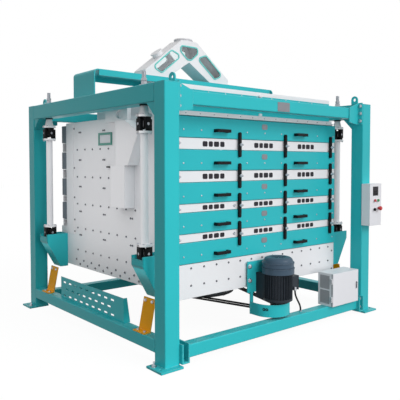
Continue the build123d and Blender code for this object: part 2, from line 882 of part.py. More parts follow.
def base_tray():
    """Lower tray of the body, with the skirt and the bearing housing of the drive wheel."""
    inner = body_half_width - wall_thickness
    front = -body_front + hood_setback
    back = wall_front
    tray = block((-inner, inner), (front, back), (base_bottom, base_top))
    room_x = (-inner + base_plate, inner - base_plate)
    room_y = (front + base_plate, back - base_plate)
    tray -= block(room_x, room_y, (base_floor, base_top))
    tray -= block((-inner, inner), (room_y[0], back), (base_bottom, base_floor - base_plate))
    floor_low = base_floor - base_plate
    tray += disc(bearing_flange_radius, (floor_low - bearing_flange_thickness, floor_low))
    tray += disc(bearing_radius, (bearing_bottom, floor_low - bearing_flange_thickness))
    tray -= disc(spindle_radius + running_gap, (bearing_bottom, floor_low - bearing_flange_thickness))
    return [tray]


def top_cover():
    """Deck with its front lip, and the hood on it with a lid and two inlet rings."""
    front = -body_front + hood_setback
    inner = body_half_width - wall_thickness
    lip_low = panel_z[0][1] + row_gap
    lip_z = (lip_low, lip_low + lip_height)
    half = hood_half_width
    t = hood_thickness
    lip = block((-half - t, half + t), (-body_front - lip_proud, front + t), lip_z)
    deck_z = (wall_top - cover_sheet, wall_top)
    holes = []
    for x in (-outlet_x, outlet_x):
        holes.append(disc(cover_inlet_radius, (deck_z[0], hood_top + cover_height), x, gantry_centre_y))
    deck = block((-inner, inner), (front + t, wall_back), deck_z) - holes
    side_z = (wall_top, hood_top)
    sheet = [block((-half, half), (front, front + t), (lip_z[1], hood_top))]
    sheet.append(block((-half, half), (hood_back - t, hood_back), side_z))
    sheet.extend(both_sides([block((-half, -half + t), (front + t, hood_back - t), side_z)]))
    lid_z = (hood_top, hood_top + cover_height)
    lid = block((-half, half), (front, hood_back), lid_z)
    room_z = (hood_top, lid_z[1] - cover_sheet)
    lid -= block((-half + t, half - t), (front + t, hood_back - t), room_z)
    ring_z = (lid_z[1], lid_z[1] + cover_ring_height)
    for x in (-outlet_x, outlet_x):
        lid += disc(cover_inlet_radius + cover_sheet, ring_z, x, gantry_centre_y)
        lid -= disc(cover_inlet_radius, (lid_z[0], ring_z[1]), x, gantry_centre_y)
    return [lip, deck, *sheet, lid]


def crossbars():
    """White bars between the drawers, front and back, and the studs of the clamps."""
    inner = body_half_width - wall_thickness
    front = -body_front + bar_setback
    solids = []
    for z in bar_z:
        solids.append(block((-inner, inner), (front, front + bar_depth), z))
        back_y = (wall_back, body_back - back_bar_inset)
        room_z = (z[0] + base_plate, z[1] - base_plate)
        channel = block((-inner, inner), back_y, z)
        solids.append(channel - block((-inner, inner), (back_y[0], back_y[1] - base_plate), room_z))
        for x in clamp_columns:
            solids.append(clamp_stud(x, (z[0] + z[1]) / 2))
    return solids


def clamp_stud(x, z):
    """Stud that a clamp bar turns on, with its nut."""
    back = -body_front + bar_setback
    bar_front = -body_front - clamp_gap - clamp_thickness
    tip = bar_front - stud_nut_gap - stud_nut_height - stud_end
    stud = peg(stud_radius, (tip, back), x, z)
    nut_back = bar_front - stud_nut_gap
    nut_face = Pos(x, z) * RegularPolygon(stud_nut_radius, 6)
    nut = plate_xz(nut_face, (nut_back - stud_nut_height, nut_back))
    return stud + nut


def clamp_bar(x, z):
    """Round-ended clamp bar that spans two drawers."""
    back = -body_front - clamp_gap
    face = Rot(0, 0, 90) * SlotOverall(clamp_length, clamp_width)
    bar = plate_xz(Pos(x, z) * face, (back - clamp_thickness, back))
    bar = chamfer(bar.faces().sort_by(Axis.Y)[0].edges(), clamp_bevel)
    return [bar - peg(stud_radius + running_gap, (back - clamp_thickness, back), x, z)]


def drawers():
    """Drawer fronts, each with the sieve tray behind it."""
    half = body_half_width
    solids = []
    for low, high in panel_z:
        front = block((-half, half), (-body_front, -body_front + panel_thickness), (low, high))
        front = chamfer(front.faces().sort_by(Axis.Y)[0].edges(), panel_bevel)
        room_y = (-body_front + base_plate, -body_front + panel_thickness)
        room_x = (-half + base_plate, half - base_plate)
        solids.append(front - block(room_x, room_y, (low + base_plate, high - base_plate)))
        tray_low = (low + high - tray_depth_height) / 2
        reach = half - wall_thickness - tray_clearance
        y = (-body_front + base_plate, wall_back - tray_clearance)
        z = (tray_low, tray_low + tray_depth_height)
        tray = block((-reach, reach), y, z)
        rim = tray_rim
        hole = block((-reach + rim, -rim / 2), (y[0] + rim, y[1] - rim), (z[0] + tray_sheet, z[1]))
        solids.append(tray - hole - mirror(hole, about=Plane.YZ))
    return solids


def drawer_handles():
    """Bow handles, two on each drawer."""
    back = -body_front
    outer = Rectangle(handle_width, handle_reach)
    outer = fillet(outer.vertices().group_by(Axis.Y)[0], handle_corner)
    inner_reach = handle_reach - handle_grip
    inner = Pos(0, handle_grip / 2) * Rectangle(handle_width - 2 * handle_foot, inner_reach)
    bow = extrude(outer - inner, amount=handle_height)
    solids = []
    for low, high in panel_z:
        z = (low + high - handle_height) / 2 - handle_drop
        for x in (-handle_x, handle_x):
            solids.append(Pos(x, back - handle_reach / 2, z) * bow)
    return solids


def back_covers():
    """Plain covers that close the drawer rows at the back."""
    inner = body_half_width - wall_thickness
    sheet = base_plate
    solids = []
    for low, high in panel_z:
        cover = block((-inner, inner), (wall_back, body_back), (low, high))
        room_x = (-inner + sheet, inner - sheet)
        solids.append(cover - block(room_x, (wall_back, body_back - sheet), (low + sheet, high - sheet)))
    return solids


def side_chute():
    """Overtails spout, funnel and square duct on the left wall, and a framed sight window."""
    wall = -body_half_width
    spout = block((wall - spout_depth, wall), spout_y, spout_z)
    hole = Ellipse(spout_hole[0] / 2, spout_hole[1] / 2)
    hole_place = Pos(spout_y[0] + spout_hole[0], (spout_z[0] + spout_z[1]) / 2)
    spout -= plate_yz(hole_place * hole, (wall - spout_depth, wall - spout_depth / 2))
    outer_x = (wall - chute_depth, wall)
    inner_x = (wall - chute_depth + chute_sheet, wall)
    s = chute_sheet
    cone = Polygon(
        (funnel_top_y[0], spout_z[0]),
        (funnel_wide_y, funnel_wide_z),
        (funnel_low_y[0], duct_z[1]),
        (funnel_low_y[1], duct_z[1]),
        (funnel_top_y[1], spout_z[0]),
    )
    room = Polygon(
        (funnel_top_y[0], spout_z[0] - 2 * s),
        (funnel_wide_y + 2 * s, funnel_wide_z),
        (funnel_low_y[0] + 2 * s, duct_z[1]),
        (funnel_low_y[1] - s, duct_z[1]),
        (funnel_top_y[1] - s, spout_z[0] - 2 * s),
    )
    funnel = plate_yz(cone, outer_x) - plate_yz(room, inner_x)
    duct = block(outer_x, duct_y, duct_z) - block(inner_x, (duct_y[0] + s, duct_y[1] - s), duct_z)
    rim = block((wall - sight_proud, wall), sight_y, sight_z)
    rim -= block(
        (wall - sight_proud, wall),
        (sight_y[0] + sight_rim, sight_y[1] - sight_rim),
        (sight_z[0] + sight_rim, sight_z[1] - sight_rim),
    )
    return [spout, funnel, duct, rim]


def slotted_guard():
    """Upright guard sheet with rows of slots on the left floor rail."""
    foot = side_floor_rail_bottom + floor_rail_size
    x = (-half_w + guard_inset, -half_w + guard_inset + guard_sheet)
    sheet = block(x, guard_y, (foot, foot + guard_height))
    slots = Sketch()
    for row in range(slot_rows):
        stagger = row % 2
        for column in range(slot_columns - stagger):
            y = guard_y[1] - slot_from_back - slot_pitch * (column + stagger / 2)
            z = foot + slot_low + slot_rise * row
            slots += Pos(y, z) * SlotOverall(slot_length, slot_width)
    sheet -= plate_yz(slots, x)
    flap = Polygon(
        (x[1], foot),
        (x[1] + guard_return, foot),
        (x[1] + guard_return / 2, foot + guard_height),
        (x[1], foot + guard_height),
    )
    return [sheet + plate_xz(flap, (guard_y[0], guard_y[0] + guard_sheet))]


def motor_bracket():
    """Motor plate on spacers in front of the apron, with legs down to the open belt pan."""
    apron = -body_front + hood_setback
    back = apron - mount_spacer
    y = (back - mount_plate_thickness, back)
    plate = block((-mount_plate_half, mount_plate_half), y, mount_plate_z)
    leg_out = mount_plate_half - mount_leg_inset
    wide, tall = mount_spacer_size
    for side in (-1, 1):
        leg_x = span(side * (leg_out - mount_leg_width), side * leg_out)
        plate += block(leg_x, y, (pan_z[0], mount_plate_z[0]))
        x = side * mount_spacer_x
        for z in (base_bottom + tall, mount_plate_z[1] - tall):
            plate += block((x - wide / 2, x + wide / 2), (back, apron), (z - tall / 2, z + tall / 2))
    pan = pan_plan(pan_radius, y[0]) - pan_plan(pan_radius - pan_sheet, y[0])
    return [plate + Pos(0, 0, pan_z[0]) * extrude(pan, amount=pan_z[1] - pan_z[0])]


def pan_plan(radius, back):
    """U-shaped plan of the belt pan, open towards the body."""
    plan = Pos(0, pan_y) * Circle(radius) & Pos(0, pan_y - radius) * Rectangle(2 * radius, 2 * radius)
    return plan + Pos(0, (pan_y + back) / 2) * Rectangle(2 * radius, back - pan_y)


def motor():
    """Foot-mounted upright motor with cooling fins, fan cowl and terminal box."""
    shield = motor_bottom + end_shield_height
    body = disc(motor_core_radius, (motor_bottom, motor_body_top), 0, motor_y)
    fin_reach = motor_core_radius + motor_fin_height
    fin_y = (-motor_fin_thickness / 2, motor_fin_thickness / 2)
    fin = block((0, fin_reach), fin_y, (shield, motor_body_top))
    fins = []
    for turn in range(motor_fin_count):
        fins.append(Pos(0, motor_y, 0) * Rot(0, 0, turn * 360 / motor_fin_count) * fin)
    body = body + fins
    body += disc(fin_reach, (motor_bottom + end_shield_height / 3, shield), 0, motor_y)
    body += cowl()
    plate_back = -body_front + hood_setback - mount_spacer - mount_plate_thickness
    for side in (-1, 1):
        foot_x = span(side * motor_foot_x, side * (motor_foot_x - motor_foot_width))
        body += block(foot_x, (motor_y, plate_back), motor_foot_z)
    body += block(terminal_box_x, terminal_box_y, terminal_box_z)
    gland_z = (lead_points[0][2], lead_points[0][2] + gland_length)
    body += disc(gland_radius, gland_z, lead_points[0][0], lead_points[0][1])
    shaft_z = (motor_bottom, motor_bottom + motor_shaft_reach)
    return [body - disc(motor_shaft_radius + running_gap, shaft_z, 0, motor_y)]


def cowl():
    """Ribbed and domed fan cowl with a dished top."""
    low, high = cowl_radius, cowl_high_radius
    step = motor_body_top + cowl_low_height
    neck = low - cowl_groove
    brow = step + cowl_groove + cowl_high_height
    profile = Polyline(
        (0, motor_body_top),
        (low, motor_body_top),
        (low, step),
        (neck, step + cowl_groove / 3),
        (neck, step + cowl_groove * 2 / 3),
        (high, step + cowl_groove),
        (high, brow),
        (high - cowl_groove, brow + cowl_groove / 3),
    )
    shoulder = profile @ 1
    middle_x = cowl_crown_radius + (shoulder.X - cowl_crown_radius) * 0.72
    middle_z = shoulder.Y + (motor_top - shoulder.Y) * 0.68
    crown = ThreePointArc(
        (shoulder.X, shoulder.Y),
        (middle_x, middle_z),
        (cowl_crown_radius, motor_top),
    )
    close = Polyline(
        (cowl_crown_radius, motor_top),
        (cowl_dish_radius + cowl_dish, motor_top),
        (cowl_dish_radius, motor_top - cowl_dish),
        (0, motor_top - cowl_dish),
        (0, motor_body_top),
    )
    half = Plane.XZ * make_face([*profile.edges(), crown, *close.edges()])
    return Pos(0, motor_y, 0) * revolve(half, Axis.Z)


def groove_ring(radius):
    """The two belt grooves to cut from a wheel of this radius."""
    depth = belt_thickness - belt_proud + belt_gap
    rings = []
    for z in belt_z:
        half = belt_width / 2 + belt_gap
        section = Polygon(
            (radius - depth, z - half),
            (radius + belt_gap, z - half - groove_slope),
            (radius + belt_gap, z + half + groove_slope),
            (radius - depth, z + half),
        )
        rings.append(revolve(Plane.XZ * section, Axis.Z))
    return rings


def counterweight_wheel():
    """Grooved drive wheel with its spindle and the out-of-balance weight."""
    wheel = disc(wheel_radius, wheel_z)
    room = wheel_radius - wheel_rim
    web_z = (wheel_z[0] + wheel_z[1] - wheel_web) / 2
    for z in ((wheel_z[0], web_z), (web_z + wheel_web, wheel_z[1])):
        wheel -= disc(room, z) - disc(wheel_hub_radius, z)
    wheel = wheel - groove_ring(wheel_radius)
    spindle_top = base_floor - base_plate - bearing_flange_thickness
    wheel += disc(spindle_radius, (wheel_z[1], spindle_top - lug_gap))
    sector = Circle(weight_radii[1]) - Circle(weight_radii[0])
    half = math.radians(weight_angle / 2)
    far = 2 * weight_radii[1]
    reach, rise = far * math.cos(half), far * math.sin(half)
    wedge = Polygon((0, 0), (reach, rise), (far, 0), (reach, -rise))
    weight = extrude(sector & wedge, amount=weight_height)
    return [wheel, Pos(0, 0, web_z - weight_height) * weight]


def motor_pulley():
    """Grooved motor pulley on its shaft."""
    pulley = disc(pulley_radius, pulley_z) - groove_ring(pulley_radius)
    pulley += disc(motor_shaft_radius, (pulley_z[1], motor_bottom + motor_shaft_reach - lug_gap))
    return [Pos(0, motor_y, 0) * pulley]


def belt_loop(extra):
    """Plan of a belt round both wheels, at a distance from the bottom of the grooves."""
    base = belt_proud - belt_thickness + extra
    rounds = Circle(wheel_radius + base) + Pos(0, motor_y) * Circle(pulley_radius + base)
    return make_hull(rounds.edges())


def drive_belts():
    """Two belts from the motor pulley to the weighted wheel."""
    plan = belt_loop(belt_thickness) - belt_loop(0)
    return [Pos(0, 0, z - belt_width / 2) * extrude(plan, amount=belt_width) for z in belt_z]


def motor_lead():
    """Short lead from the terminal box to the gland on the floor rail."""
    points = [Vector(*point) for point in lead_points]
    radii = []
    for before, corner, after in zip(points, points[1:], points[2:]):
        run = min((corner - before).length, (after - corner).length)
        turn = math.radians((corner - before).get_angle(after - corner))
        radii.append(0.45 * run / math.tan(turn / 2))
    path = FilletPolyline(*points, radius=radii)
    lead = sweep(Plane(origin=path @ 0, z_dir=path % 0) * Circle(lead_diameter / 2), path=path)
    return [lead]


def cabinet_limits():
    """Front to back and floor to top limits of the drive cabinet."""
    low = cross_floor_rail_bottom + floor_rail_size
    front = -half_d - cabinet_overhang
    return (front, front + cabinet_depth), (low, low + cabinet_height)


def hinge_heights():
    """Middle heights of the two cabinet hinges."""
    low, high = cabinet_limits()[1]
    return (low + hinge_from_end, high - hinge_from_end)


def cabinet_case():
    """Open-fronted drive cabinet with hinge lugs and two louvre recesses."""
    y, z = cabinet_limits()
    front = y[0] + door_thickness + door_gap
    s = cabinet_sheet
    case = block(cabinet_x, (front, y[1]), z)
    case -= block((cabinet_x[0] + s, cabinet_x[1] - s), (front, y[1] - s), (z[0] + s, z[1] - s))
    middle = (z[0] + z[1]) / 2
    gap = louvre_margin / 3
    recess_x = (cabinet_x[0], cabinet_x[0] + louvre_depth)
    recess_y = (front + louvre_margin, y[1] - louvre_margin)
    for recess_z in ((z[0] + louvre_margin, middle - gap), (middle + gap, z[1] - louvre_margin)):
        case -= block(recess_x, recess_y, recess_z)
    pin_x = cabinet_x[0] - knuckle_radius - knuckle_gap
    pin_y = y[0] + door_thickness / 2
    for height in hinge_heights():
        reach = knuckle_length / 2 + lug_gap
        for z_low in (height - reach - lug_thickness, height + reach):
            case += disc(knuckle_radius, (z_low, z_low + lug_thickness), pin_x, pin_y)
            lug_z = (z_low, z_low + lug_thickness)
            arm_x = (pin_x - knuckle_radius / 2, pin_x + knuckle_radius / 2)
            case += block(arm_x, (pin_y, front + lug_thickness), lug_z)
            case += block((pin_x, cabinet_x[0]), (front, front + lug_thickness), lug_z)
        case += disc(hinge_pin_radius, (height - reach, height + reach), pin_x, pin_y)
    return [case]


def cabinet_door():
    """Cabinet door with two hinge knuckles and a lock boss."""
    y, z = cabinet_limits()
    door = block(cabinet_x, (y[0], y[0] + door_thickness), z)
    door = chamfer(door.faces().sort_by(Axis.Y)[0].edges(), door_thickness / 8)
    pin_x = cabinet_x[0] - knuckle_radius - knuckle_gap
    pin_y = y[0] + door_thickness / 2
    for height in hinge_heights():
        knuckle_z = (height - knuckle_length / 2, height + knuckle_length / 2)
        door += disc(knuckle_radius, knuckle_z, pin_x, pin_y)
        strap_y = (pin_y - knuckle_radius / 2, pin_y + knuckle_radius / 2)
        door += block((pin_x, cabinet_x[0]), strap_y, knuckle_z)
        door -= disc(hinge_pin_radius + running_gap, knuckle_z, pin_x, pin_y)
    return [door]


def control_front():
    """Front plane of the control box."""
    return -half_d - control_depth


def control_box():
    """Control box on the front of the right post, bored for its operators."""
    front = control_front()
    x = (post_in_x + control_offset, post_in_x + control_offset + control_width)
    box = block(x, (front, -half_d), control_z)
    middle = (x[0] + x[1]) / 2
    top = control_z[1]
    display_z = (top - display_from_top - display_size[1], top - display_from_top)
    display_x = (middle - display_size[0] / 2, middle + display_size[0] / 2)
    box -= block(display_x, (front, front + display_depth), display_z)
    for place_x, place_z in operator_places():
        box += peg(bezel_radius, (front - bezel_height, front), place_x, place_z)
        box -= peg(stem_radius + running_gap, (front - bezel_height, front + bore_depth), place_x, place_z)
    return [box]


def operator_places():
    """Middles of the start button, stop button, selector and emergency stop on the box front."""
    high = control_z[1] - button_from_top
    low = control_z[1] - knob_from_top
    stop = control_z[1] - stop_from_top
    places = [(button_x[0], high), (button_x[1], high), (knob_x, low), (stop_x, stop)]
    return [(post_in_x + control_offset + x, z) for x, z in places]


def push_button(place):
    """Round push button on a sliding stem."""
    x, z = place
    seat = control_front() - bezel_height
    back = seat - button_travel - lug_gap
    cap = peg(button_radius, (back - button_height, back), x, z)
    return [cap + peg(stem_radius, (back, seat + stem_length), x, z)]


def selector_knob(place):
    """Selector knob with a finger bar."""
    x, z = place
    seat = control_front() - bezel_height - lug_gap
    knob = peg(knob_radius, (seat - knob_height / 2, seat), x, z)
    bar_x = (x - knob_radius / 3, x + knob_radius / 3)
    knob += block(bar_x, (seat - knob_height, seat), (z - knob_radius, z + knob_radius))
    return [knob + peg(stem_radius, (seat, seat + stem_length), x, z)]


def emergency_stop(place):
    """Mushroom-headed emergency stop."""
    x, z = place
    seat = control_front() - bezel_height
    head_back = seat - stop_stand
    head = peg(stop_radius, (head_back - stop_height, head_back), x, z)
    head = fillet(head.faces().sort_by(Axis.Y)[0].edges(), stop_height / 2)
    collar = peg(button_radius, (head_back, seat - stop_travel - lug_gap), x, z)
    return [head + collar + peg(stem_radius, (head_back, seat + stem_length), x, z)]


def main():
    """Build every sub-part and write it out."""
    os.makedirs("parts", exist_ok=True)
    save("corner_posts", corner_posts())
    save("top_rails", top_rails())
    save("bottom_rails", bottom_rails())
    save("feed_gantry", feed_gantry())
    save("feed_distributor", feed_distributor())
    save("distributor_windows", distributor_windows())
    save("hanger_heads", hanger_heads())
    save("slotted_guard", slotted_guard())
    save("transport_stays", transport_stays())
    save("cabinet_case", cabinet_case())
    save("cabinet_door", cabinet_door())
    save("control_box", control_box())
    start, stop, selector, emergency = operator_places()
    save("start_button", push_button(start))
    save("stop_button", push_button(stop))
    save("selector_knob", selector_knob(selector))
    save("emergency_stop", emergency_stop(emergency))
    save("side_walls", side_walls())
    save("base_tray", base_tray())
    save("top_cover", top_cover())
    save("crossbars", crossbars())
    save("drawers", drawers())
    save("drawer_handles", drawer_handles())
    save("back_covers", back_covers())
    save("hanger_brackets", hanger_brackets())
    save("lower_bearing_blocks", lower_bearing_blocks())
    save("side_chute", side_chute())
    save("motor_bracket", motor_bracket())
    save("motor", motor())
    save("drive_belts", drive_belts())
    save("motor_cable", motor_lead())
    save("counterweight_wheel", counterweight_wheel())
    save("motor_pulley", motor_pulley())
    for corner, (sx, sy) in corners.items():
        x, y = sx * hanger_x, sy * hanger_y
        save(f"upper_cross_{corner}", cardan_cross(x, y, upper_pivot_z))
        save(f"hanger_{corner}", hanger(x, y))
        save(f"lower_cross_{corner}", cardan_cross(x, y, lower_pivot_z))
    for row, (low, high) in enumerate(bar_z, start=1):
        for column, x in enumerate(clamp_columns, start=1):
            save(f"clamp_row{row}_column{column}", clamp_bar(x, (low + high) / 2))


main()
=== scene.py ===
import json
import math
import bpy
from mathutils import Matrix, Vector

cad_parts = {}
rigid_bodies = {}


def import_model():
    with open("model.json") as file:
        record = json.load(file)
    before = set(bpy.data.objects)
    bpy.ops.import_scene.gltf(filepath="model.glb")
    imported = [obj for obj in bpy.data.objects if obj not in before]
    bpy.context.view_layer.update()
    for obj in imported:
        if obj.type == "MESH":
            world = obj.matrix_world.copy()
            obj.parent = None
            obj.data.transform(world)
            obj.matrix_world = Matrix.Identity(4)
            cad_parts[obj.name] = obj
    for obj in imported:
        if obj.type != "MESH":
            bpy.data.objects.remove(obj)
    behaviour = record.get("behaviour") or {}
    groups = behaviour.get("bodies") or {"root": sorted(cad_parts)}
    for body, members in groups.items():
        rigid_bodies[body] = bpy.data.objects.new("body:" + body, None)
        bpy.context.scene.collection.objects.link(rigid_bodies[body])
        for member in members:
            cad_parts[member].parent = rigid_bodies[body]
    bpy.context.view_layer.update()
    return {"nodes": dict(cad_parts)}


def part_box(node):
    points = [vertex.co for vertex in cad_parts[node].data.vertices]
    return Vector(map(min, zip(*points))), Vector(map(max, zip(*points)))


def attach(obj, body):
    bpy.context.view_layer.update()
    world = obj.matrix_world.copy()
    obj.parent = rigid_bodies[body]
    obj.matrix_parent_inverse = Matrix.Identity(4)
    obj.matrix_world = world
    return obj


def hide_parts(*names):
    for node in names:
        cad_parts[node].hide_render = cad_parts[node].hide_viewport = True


bl_info = {
    "name": "Vibrating sieve",
    "version": (1, 0, 0),
    "blender": (4, 5, 0),
    "location": "3D View > Sidebar > Sieve",
    "description": "Finishes, fasteners, plates and small fittings of a free-swinging drawer sieve",
    "category": "Object",
}

import bmesh
import bpy
from bpy.props import FloatProperty, FloatVectorProperty, PointerProperty
from mathutils import Matrix, Vector

for leftover in list(bpy.data.objects):
    bpy.data.objects.remove(leftover)
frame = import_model()

MM = 0.001
CORNERS = {
    "front_left": (-1, -1),
    "front_right": (1, -1),
    "back_left": (-1, 1),
    "back_right": (1, 1),
}

# Heights of the drawer fronts and of the white bars between them, in millimetres.
DRAWER_Z = (1802.0, 1534.0, 1266.0, 1022.0, 778.0)
BAR_Z = (1668.0, 1400.0, 1144.0, 900.0)

UP = (0, 0, 1)
DOWN = (0, 0, -1)
FRONT = (0, -1, 0)


def node_box(node):
    """Low and high corner of a CAD node, in millimetres."""
    return [[round(part / MM, 1) for part in corner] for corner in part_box(node)]


def front_of(node):
    """Front face of a CAD node, in millimetres."""
    return node_box(node)[0][1]


def middle_of(node):
    """Middle of a CAD node, in millimetres."""
    low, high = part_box(node)
    return [round((a + b) / 2 / MM, 1) for a, b in zip(low, high)]


# How far the bars lie behind the drawer fronts, and the screen behind the control box's bezel.
BAR_STEP = 8.0
SCREEN_STEP = 7.0

# Faces that the small fittings stand on, in millimetres. The chute's back lies on the left wall.
WALL_X = -node_box("side_chute")[1][0]
DRAWER_Y = front_of("drawers")
BAR_Y = DRAWER_Y + BAR_STEP
APRON_Y = front_of("base_tray")
LIP_Y = front_of("top_cover")
BEAM_Y = -1155.0
SCREEN_Y = front_of("control_box") + SCREEN_STEP
DOOR_Y = front_of("cabinet_door")

# Axes of the hangers and of the motor. The motor stands at X 0, so its left side gives its radius.
HANGER_X, HANGER_Y = (abs(part) for part in middle_of("hanger_front_right")[:2])
MOTOR_RADIUS = -node_box("motor")[0][0]
MOTOR_Y = front_of("motor") + MOTOR_RADIUS


def linear(red, green, blue):
    """Linear colour of an ordinary 8-bit one."""
    out = []
    for part in (red, green, blue):
        part /= 255.0
        out.append(part / 12.92 if part <= 0.04045 else ((part + 0.055) / 1.055) ** 2.4)
    return tuple(out)


def colour_setting(name, description, red, green, blue):
    """A colour that the panel shows."""
    return FloatVectorProperty(
        name=name,
        description=description,
        subtype="COLOR",
        size=3,
        min=0.0,
        max=1.0,
        default=linear(red, green, blue),
    )


def length_setting(name, description, default, low, high):
    """A length in metres that the panel shows."""
    return FloatProperty(
        name=name,
        description=description,
        default=default,
        min=low,
        max=high,
        unit="LENGTH",
    )


class SieveColours(bpy.types.PropertyGroup):
    """Colours of the sieve's paints and materials."""

    turquoise: colour_setting("Turquoise paint", "Stand, brackets and gantry", 48, 187, 194)
    drawer: colour_setting("Drawer paint", "Drawer fronts", 46, 184, 192)
    white: colour_setting("White paint", "Body sheets, bars and hanger tubes", 233, 233, 236)
    pale: colour_setting("Pale grey paint", "Cabinet and control box", 230, 231, 236)
    orange: colour_setting("Orange paint", "Transport stays", 255, 178, 6)
    # Painted shade: this dark grey stands for the shadow that the back covers lie in.
    shade: colour_setting("Dark grey painted shade", "Covers at the back", 108, 112, 122)
    steel: colour_setting("Bare steel", "Rods, crosses and yokes", 168, 171, 177)
    zinc: colour_setting("Zinc plate", "Bolts, nuts and washers", 192, 195, 202)
    # Partly painted shade: the bolts are darkened steel, and the darkness also stands for the shadow round
    # their heads.
    blackened_and_shaded: colour_setting("Blackened steel and painted shade", "Sheet bolts of the walls", 112, 114, 120)
    # This grey also paints shade on the door's left edge. It stands for the shadow of that edge and of its
    # gap.
    mesh: colour_setting("Vent mesh", "Vents and door edge of the cabinet", 176, 178, 183)
    iron: colour_setting("Cast iron", "Drive wheel and pulley", 70, 72, 76)
    charcoal: colour_setting("Motor paint", "Motor body and terminal box", 41, 48, 56)
    slate: colour_setting("Cowl paint", "Fan cowl of the motor", 68, 86, 103)
    black: colour_setting("Black plastic", "Clamp bars, handles and knobs", 15, 16, 19)
    rubber: colour_setting("Black rubber", "Bearing blocks, belts and lead", 14, 14, 16)
    red: colour_setting("Red caps", "Stop button and emergency stop", 190, 28, 34)
    green: colour_setting("Green caps", "Start button", 30, 140, 70)
    sight: colour_setting("Sight frame", "Frame of the wall's sight window", 62, 140, 126)
    pane: colour_setting("Sight pane", "Dusty pane in the sight frame", 206, 210, 215)
    gasket: colour_setting("Gasket", "Window gaskets of the feed fork", 108, 206, 200)
    plate: colour_setting("Label metal", "Bare plates and badges", 134, 136, 142)
    tile: colour_setting("Dark tiles", "Blank tiles on the bars", 44, 42, 48)
    flour: colour_setting("Dust", "Fine flour dust on level faces", 238, 234, 224)


class SieveSizes(bpy.types.PropertyGroup):
    """Sizes of the small fittings."""

    wall_bolt: length_setting("Wall bolt", "Head of a sheet bolt, across its corners", 0.015, 0.005, 0.05)
    frame_bolt: length_setting("Frame bolt", "Head of a frame bolt, across its corners", 0.030, 0.01, 0.08)
    edge: length_setting("Edge", "Radius of the soft edge on painted sheet", 0.005, 0.0, 0.02)
    lead: length_setting("Lead", "Diameter of the motor lead", 0.016, 0.004, 0.03)
    floor: length_setting("Floor", "Side of the pale floor", 60.0, 5.0, 200.0)


def colours():
    """The colours that the panel holds."""
    return bpy.context.scene.sieve_colours


def sizes():
    """The sizes that the panel holds."""
    return bpy.context.scene.sieve_sizes


# Shader groups. Each gives values that change over the surface.


def new_group(name, inputs, outputs):
    """An empty shader group with named sockets."""
    group = bpy.data.node_groups.new(name, "ShaderNodeTree")
    for label, kind, value in inputs:
        socket = group.interface.new_socket(label, in_out="INPUT", socket_type=kind)
        if value is not None:
            socket.default_value = value
    for label, kind in outputs:
        group.interface.new_socket(label, in_out="OUTPUT", socket_type=kind)
    start = group.nodes.new("NodeGroupInput")
    end = group.nodes.new("NodeGroupOutput")
    return group, start.outputs, end.inputs


def feed(tree, socket, value):
    """Link a socket to another one, or set it to a plain value."""
    if isinstance(value, bpy.types.NodeSocket):
        tree.links.new(value, socket)
    else:
        socket.default_value = value


def math_node(tree, operation, *values):
    """A math node fed with sockets or plain numbers."""
    node = tree.nodes.new("ShaderNodeMath")
    node.operation = operation
    for socket, value in zip(node.inputs, values):
        feed(tree, socket, value)
    return node.outputs[0]


def vector_node(tree, operation, first, second):
    """The outputs of a vector math node fed with sockets or plain vectors."""
    node = tree.nodes.new("ShaderNodeVectorMath")
    node.operation = operation
    feed(tree, node.inputs[0], first)
    feed(tree, node.inputs[1], second)
    return node.outputs


def noise(tree, place, scale, detail, rough):
    """Noise between 0 and 1."""
    node = tree.nodes.new("ShaderNodeTexNoise")
    node.inputs["Scale"].default_value = scale
    node.inputs["Detail"].default_value = detail
    node.inputs["Roughness"].default_value = rough
    tree.links.new(place, node.inputs["Vector"])
    return node.outputs["Fac"]


def spread(tree, value, low, high):
    """A value between 0 and 1 set onto a range."""
    node = tree.nodes.new("ShaderNodeMapRange")
    tree.links.new(value, node.inputs["Value"])
    feed(tree, node.inputs["To Min"], low)
    feed(tree, node.inputs["To Max"], high)
    return node.outputs["Result"]


def step(tree, value, low, high):
    """0 under low, 1 over high and a soft rise between them."""
    node = tree.nodes.new("ShaderNodeMapRange")
    node.interpolation_type = "SMOOTHSTEP"
    node.inputs["From Min"].default_value = low
    node.inputs["From Max"].default_value = high
    tree.links.new(value, node.inputs["Value"])
    return node.outputs["Result"]


def mix_colour(tree, share, first, second):
    """Two colours mixed by a mask."""
    node = tree.nodes.new("ShaderNodeMix")
    node.data_type = "RGBA"
    tree.links.new(share, node.inputs[0])
    feed(tree, node.inputs[6], first)
    feed(tree, node.inputs[7], second)
    return node.outputs[2]


def mix_value(tree, share, first, second):
    """Two numbers mixed by a mask."""
    node = tree.nodes.new("ShaderNodeMix")
    node.data_type = "FLOAT"
    tree.links.new(share, node.inputs[0])
    feed(tree, node.inputs[2], first)
    feed(tree, node.inputs[3], second)
    return node.outputs[0]


def tinted(tree, colour, factor):
    """A colour made lighter or darker by a changing factor."""
    node = tree.nodes.new("ShaderNodeVectorMath")
    node.operation = "SCALE"
    tree.links.new(colour, node.inputs[0])
    tree.links.new(factor, node.inputs["Scale"])
    return node.outputs[0]


EDGE_SAMPLES = 4
FILM_INPUTS = (
    ("Vector", "NodeSocketVector", None),
    ("Colour", "NodeSocketColor", (0.8, 0.8, 0.8, 1.0)),
    ("Change", "NodeSocketFloat", 0.05),
    ("Roughness", "NodeSocketFloat", 0.4),
    ("Depth", "NodeSocketFloat", 0.1),
)
FILM_OUTPUTS = (
    ("Colour", "NodeSocketColor"),
    ("Roughness", "NodeSocketFloat"),
    ("Height", "NodeSocketFloat"),
)


